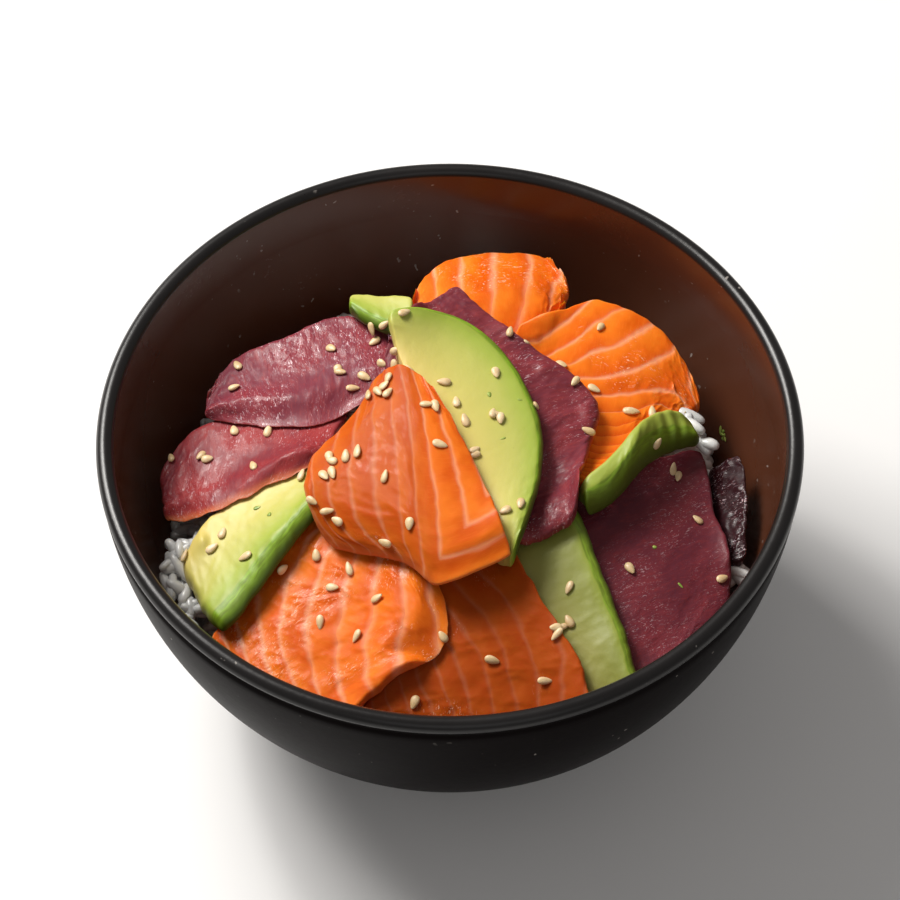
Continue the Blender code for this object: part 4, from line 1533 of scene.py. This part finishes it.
@dataclass
class SesameSprinkle:
    """Toasted seeds dropped on the slices, alone or in loose groups.

    hull: half-lengths. vary: the least and most they are scaled by. tilt: how much they lean.
    stand: the share of its half-height that a seed's middle stands at.
    groups: x, y, how many and how far apart.
    """

    hull: tuple[float, float, float] = (1.62, 0.95, 0.5)
    vary: tuple[float, float] = (0.88, 1.12)
    tilt: float = 0.12
    stand: float = 0.8
    groups: tuple[tuple[float, float, int, float], ...] = (
        (-65, 7, 1, 0.4), (-57, 5, 2, 0.8), (-51, 11, 1, 0.5), (-43, 10, 1, 0.5), (-45, -1, 1, 0.5),
        (-51, 23, 1, 0.5), (-50, 30, 1, 0.4), (-28, 32, 1, 0.5), (-26, 25, 1, 0.5), (-18, 33, 3, 1.5),
        (-20, 22, 4, 2.0), (-14, 23, 2, 1.2), (-10, 29, 1, 0.5), (-13, 10, 5, 2.4), (-17, 8, 1, 0.5),
        (-23, 14, 1, 0.4), (-28, -8, 6, 2.2), (-31, -17, 1, 0.4), (-21, -6, 1, 0.5), (-15, -14, 1, 0.5),
        (-26, -22, 2, 1.1), (-9, -27, 1, 0.5), (-15, -29, 1, 0.5), (-3, -7, 1, 0.5), (-4, 3, 2, 1.6),
        (-1, 13, 1, 0.5), (1, 7, 1, 0.5), (4, 2, 1, 0.5), (9, 4, 3, 1.4), (11, 16, 1, 0.5),
        (5, -6, 2, 1.0), (14, -22, 2, 1.5), (20, 8, 1, 0.5), (14, 31, 1, 0.5), (18, 30, 1, 0.5),
        (27, 27, 1, 0.5), (29, 20, 1, 0.5), (32, 6, 1, 0.5), (34, 21, 1, 0.5), (36, 40, 1, 0.5),
        (46, 47, 1, 0.5), (42, 16, 2, 1.4), (49, 16, 2, 1.2), (48, 2, 1, 0.5), (54, 3, 2, 1.6),
        (56, -12, 1, 0.5), (40, -27, 1, 0.5), (62, -27, 1, 0.4), (-30, -24, 1, 0.5), (-25, -31, 2, 2.0),
        (-16, -38, 1, 0.5), (-30, -41, 1, 0.5), (-20, -46, 1, 0.5), (-1, -47, 1, 0.5), (9, -52, 1, 0.5),
        (-7, -60, 1, 0.5), (21, -56, 1, 0.5), (24, -46, 3, 1.5), (26, -42, 1, 0.5), (27, -35, 1, 0.5),
        (-38, -27, 1, 0.5), (-52, -17, 1, 0.5), (-59, -12, 1, 0.6), (-46, -25, 1, 0.5),
        (-55, -20, 1, 0.5), (-60, -22, 1, 0.4))
    seed: int = 53

    def build(self, heights: HeightField, material: bpy.types.Material) -> None:
        """Lays every seed flat on whatever is beneath it.

        Args:
            heights: The field after every slice has settled.
            material: The hulls' material.
        """
        rng = np.random.default_rng(self.seed)
        counts = [count for _, _, count, _ in self.groups]
        centres = np.repeat([(x, y) for x, y, _, _ in self.groups], counts, axis=0)
        spread = np.repeat([s for _, _, _, s in self.groups], counts)
        at = centres + rng.normal(0, 1, centres.shape) * spread[:, None]
        count = len(at)
        z, normal = heights.lie(at[:, 0], at[:, 1])
        normal = normal + rng.normal(0, self.tilt, normal.shape)
        normal /= np.linalg.norm(normal, axis=-1, keepdims=True)
        sizes = np.array(self.hull) * rng.uniform(*self.vary, (count, 3))
        frames = turned_frames(normal, rng.uniform(0, 2 * math.pi, count))
        places = np.column_stack([at, z]) + normal * (sizes[:, 2:] * self.stand)
        shape = pod(8, 10, -0.32)
        points, quads, caps = scatter(shape, sizes, frames, places)
        tip = np.tile(np.clip(shape[0][:, 0], 0, 1), count)
        toast = np.repeat(rng.uniform(0, 1, count), len(shape[0]))
        piece = make_piece("sesame_seeds", points, quads, {"tip": tip, "toast": toast}, triangles=caps)
        dress(piece, [material])


@dataclass
class HerbFlecks:
    """Chopped green herb.

    fleck: half-lengths. vary: the least and most they are scaled by. proud: how far those on the wall
    stand off it. on_wall: flecks on the bowl's wall, as angle and height. on_slices: the others, as x
    and y.
    """

    fleck: tuple[float, float, float] = (0.80, 0.42, 0.14)
    vary: tuple[float, float] = (0.6, 1.3)
    proud: float = 0.12
    on_wall: tuple[tuple[float, float], ...] = (
        (20.9, 44.9), (20.3, 44.3), (20.0, 45.2), (19.6, 44.6), (19.1, 45.0), (18.9, 44.1), (18.3, 44.7))
    on_slices: tuple[tuple[float, float], ...] = (
        (46.5, -20.5), (52, -30), (22, -40), (-44, -12), (-41, -15), (9, 10), (12, -2), (16, 9))
    seed: int = 59

    def build(self, heights: HeightField, material: bpy.types.Material) -> None:
        """Lays every fleck flat on what is beneath it, or on the wall.

        Args:
            heights: The field after every slice has settled.
            material: The herb's material.
        """
        rng = np.random.default_rng(self.seed)
        wall, flat = np.array(self.on_wall), np.array(self.on_slices, dtype=float)
        angle, z = np.radians(wall[:, 0]), wall[:, 1]
        inwards = np.stack([-np.cos(angle), -np.sin(angle), np.full(len(z), 0.5)], axis=-1)
        radius = inner_radius(z) - self.proud
        on_wall = np.stack([radius * np.cos(angle), radius * np.sin(angle), z], axis=-1)
        top, upright = heights.lie(flat[:, 0], flat[:, 1])
        normal = np.concatenate([inwards, upright])
        normal /= np.linalg.norm(normal, axis=-1, keepdims=True)
        places = np.concatenate([on_wall, np.column_stack([flat, top])])
        sizes = np.array(self.fleck) * rng.uniform(*self.vary, (len(places), 3))
        frames = turned_frames(normal, rng.uniform(0, 2 * math.pi, len(places)))
        points, quads, caps = scatter(pod(4, 6, 0.3), sizes, frames, places)
        piece = make_piece("herb_flecks", points, quads, triangles=caps)
        dress(piece, [material])


# ---------------------------------------------------------------------------------------
# Studio
# ---------------------------------------------------------------------------------------


@dataclass(frozen=True)
class Lamp:
    """A rectangular soft light that faces the bowl."""

    name: str
    place: Place
    size: tuple[float, float]
    power: float
    colour: Colour = (1.0, 1.0, 1.0)

    def build(self, target: Place) -> None:
        """Adds the light.

        Args:
            target: The place that it faces.
        """
        lamp = bpy.data.lights.new(self.name, "AREA")
        lamp.shape = "RECTANGLE"
        lamp.size, lamp.size_y = self.size
        lamp.energy = self.power
        lamp.color = self.colour
        holder = bpy.data.objects.new(self.name, lamp)
        holder.location = self.place
        back = Vector(self.place) - Vector(target)
        holder.rotation_euler = back.to_track_quat("Z", "Y").to_euler()
        bpy.context.scene.collection.objects.link(holder)


@dataclass
class Studio:
    """A pale floor, soft lights and the camera."""

    lamps: tuple[Lamp, ...] = (
        Lamp("key", (-0.50, 0.42, 0.76), (0.50, 0.50), 12.5, (1.0, 0.97, 0.93)),
        Lamp("glint", (-0.46, 0.46, 0.80), (0.10, 0.10), 2.2, (1.0, 0.97, 0.93)),
        Lamp("fill", (0.1, -0.9, 0.8), (0.9, 0.6), 0.8))
    target: Place = (0.0, 0.0, 0.05)
    air: Colour = (1.0, 0.96, 0.93)
    air_strength: float = 0.26
    floor_half: float = 4.0
    lens: float = 115.08
    sensor: float = 36.0
    elevation: float = 53.0
    distance: float = 0.650
    aim_down: float = 0.526
    rim: float = 0.080

    def build_floor(self) -> None:
        """Adds the floor, a square at the height of the foot."""
        half = self.floor_half
        mesh = bpy.data.meshes.new("floor")
        corners = [(-half, -half, 0), (half, -half, 0), (half, half, 0), (-half, half, 0)]
        mesh.from_pydata(corners, [], [(0, 1, 2, 3)])
        floor = bpy.data.objects.new("floor", mesh)
        bpy.context.scene.collection.objects.link(floor)
        floor.data.materials.append(FloorFinish().build())

    def build_camera(self) -> None:
        """Adds the camera, at a distance from the middle of the rim, and makes it the scene's own."""
        pitch = math.radians(self.elevation)
        camera = bpy.data.cameras.new("camera")
        camera.lens, camera.sensor_width, camera.clip_start = self.lens, self.sensor, 0.01
        holder = bpy.data.objects.new("camera", camera)
        holder.location = (0.0, -self.distance * math.cos(pitch), self.rim + self.distance * math.sin(pitch))
        holder.rotation_euler = (math.radians(90.0 - self.elevation - self.aim_down), 0.0, 0.0)
        bpy.context.scene.collection.objects.link(holder)
        bpy.context.scene.camera = holder

    def build(self) -> None:
        """Adds the floor, the lights, the world and the camera."""
        self.build_floor()
        world = bpy.data.worlds.new("studio")
        world.use_nodes = True
        background = world.node_tree.nodes["Background"]
        background.inputs[0].default_value = (*self.air, 1.0)
        background.inputs[1].default_value = self.air_strength
        bpy.context.scene.world = world
        for lamp in self.lamps:
            lamp.build(self.target)
        self.build_camera()
        bpy.context.scene.view_settings.view_transform = "Standard"


def main() -> None:
    """Builds every piece, from the bowl up, then the studio."""
    logging.basicConfig(level=logging.INFO, format="%(name)s %(message)s")
    TurnedBowl().build([BowlFinish().build(part) for part in BowlPart])
    red = TunaFinish("tuna_flesh", (0.32, 0.038, 0.040), (0.18, 0.024, 0.034), (0.46, 0.066, 0.052))
    # A darker copy of the tuna finish; its darkness is partly painted shade for the shaded right-hand slices.
    dark = TunaFinish("tuna_dark_flesh", (0.185, 0.026, 0.034), (0.105, 0.015, 0.024), (0.30, 0.036, 0.032))
    finishes = {Kind.SALMON: SalmonFinish().build(), Kind.TUNA: red.build(), Kind.TUNA_DARK: dark.build(),
                Kind.AVOCADO: AvocadoFinish().build()}
    heights = HeightField()
    rice = RiceHeap()
    white = RiceFinish().build()
    rice.build_core(white)
    for spec in SLICES:
        SliceShape(spec, heights).build(finishes[spec.kind])
    rice.build_grains(heights, white)
    SesameSprinkle().build(heights, SesameFinish().build())
    HerbFlecks().build(heights, HerbFinish().build())
    Studio().build()


if __name__ == "__main__":
    main()
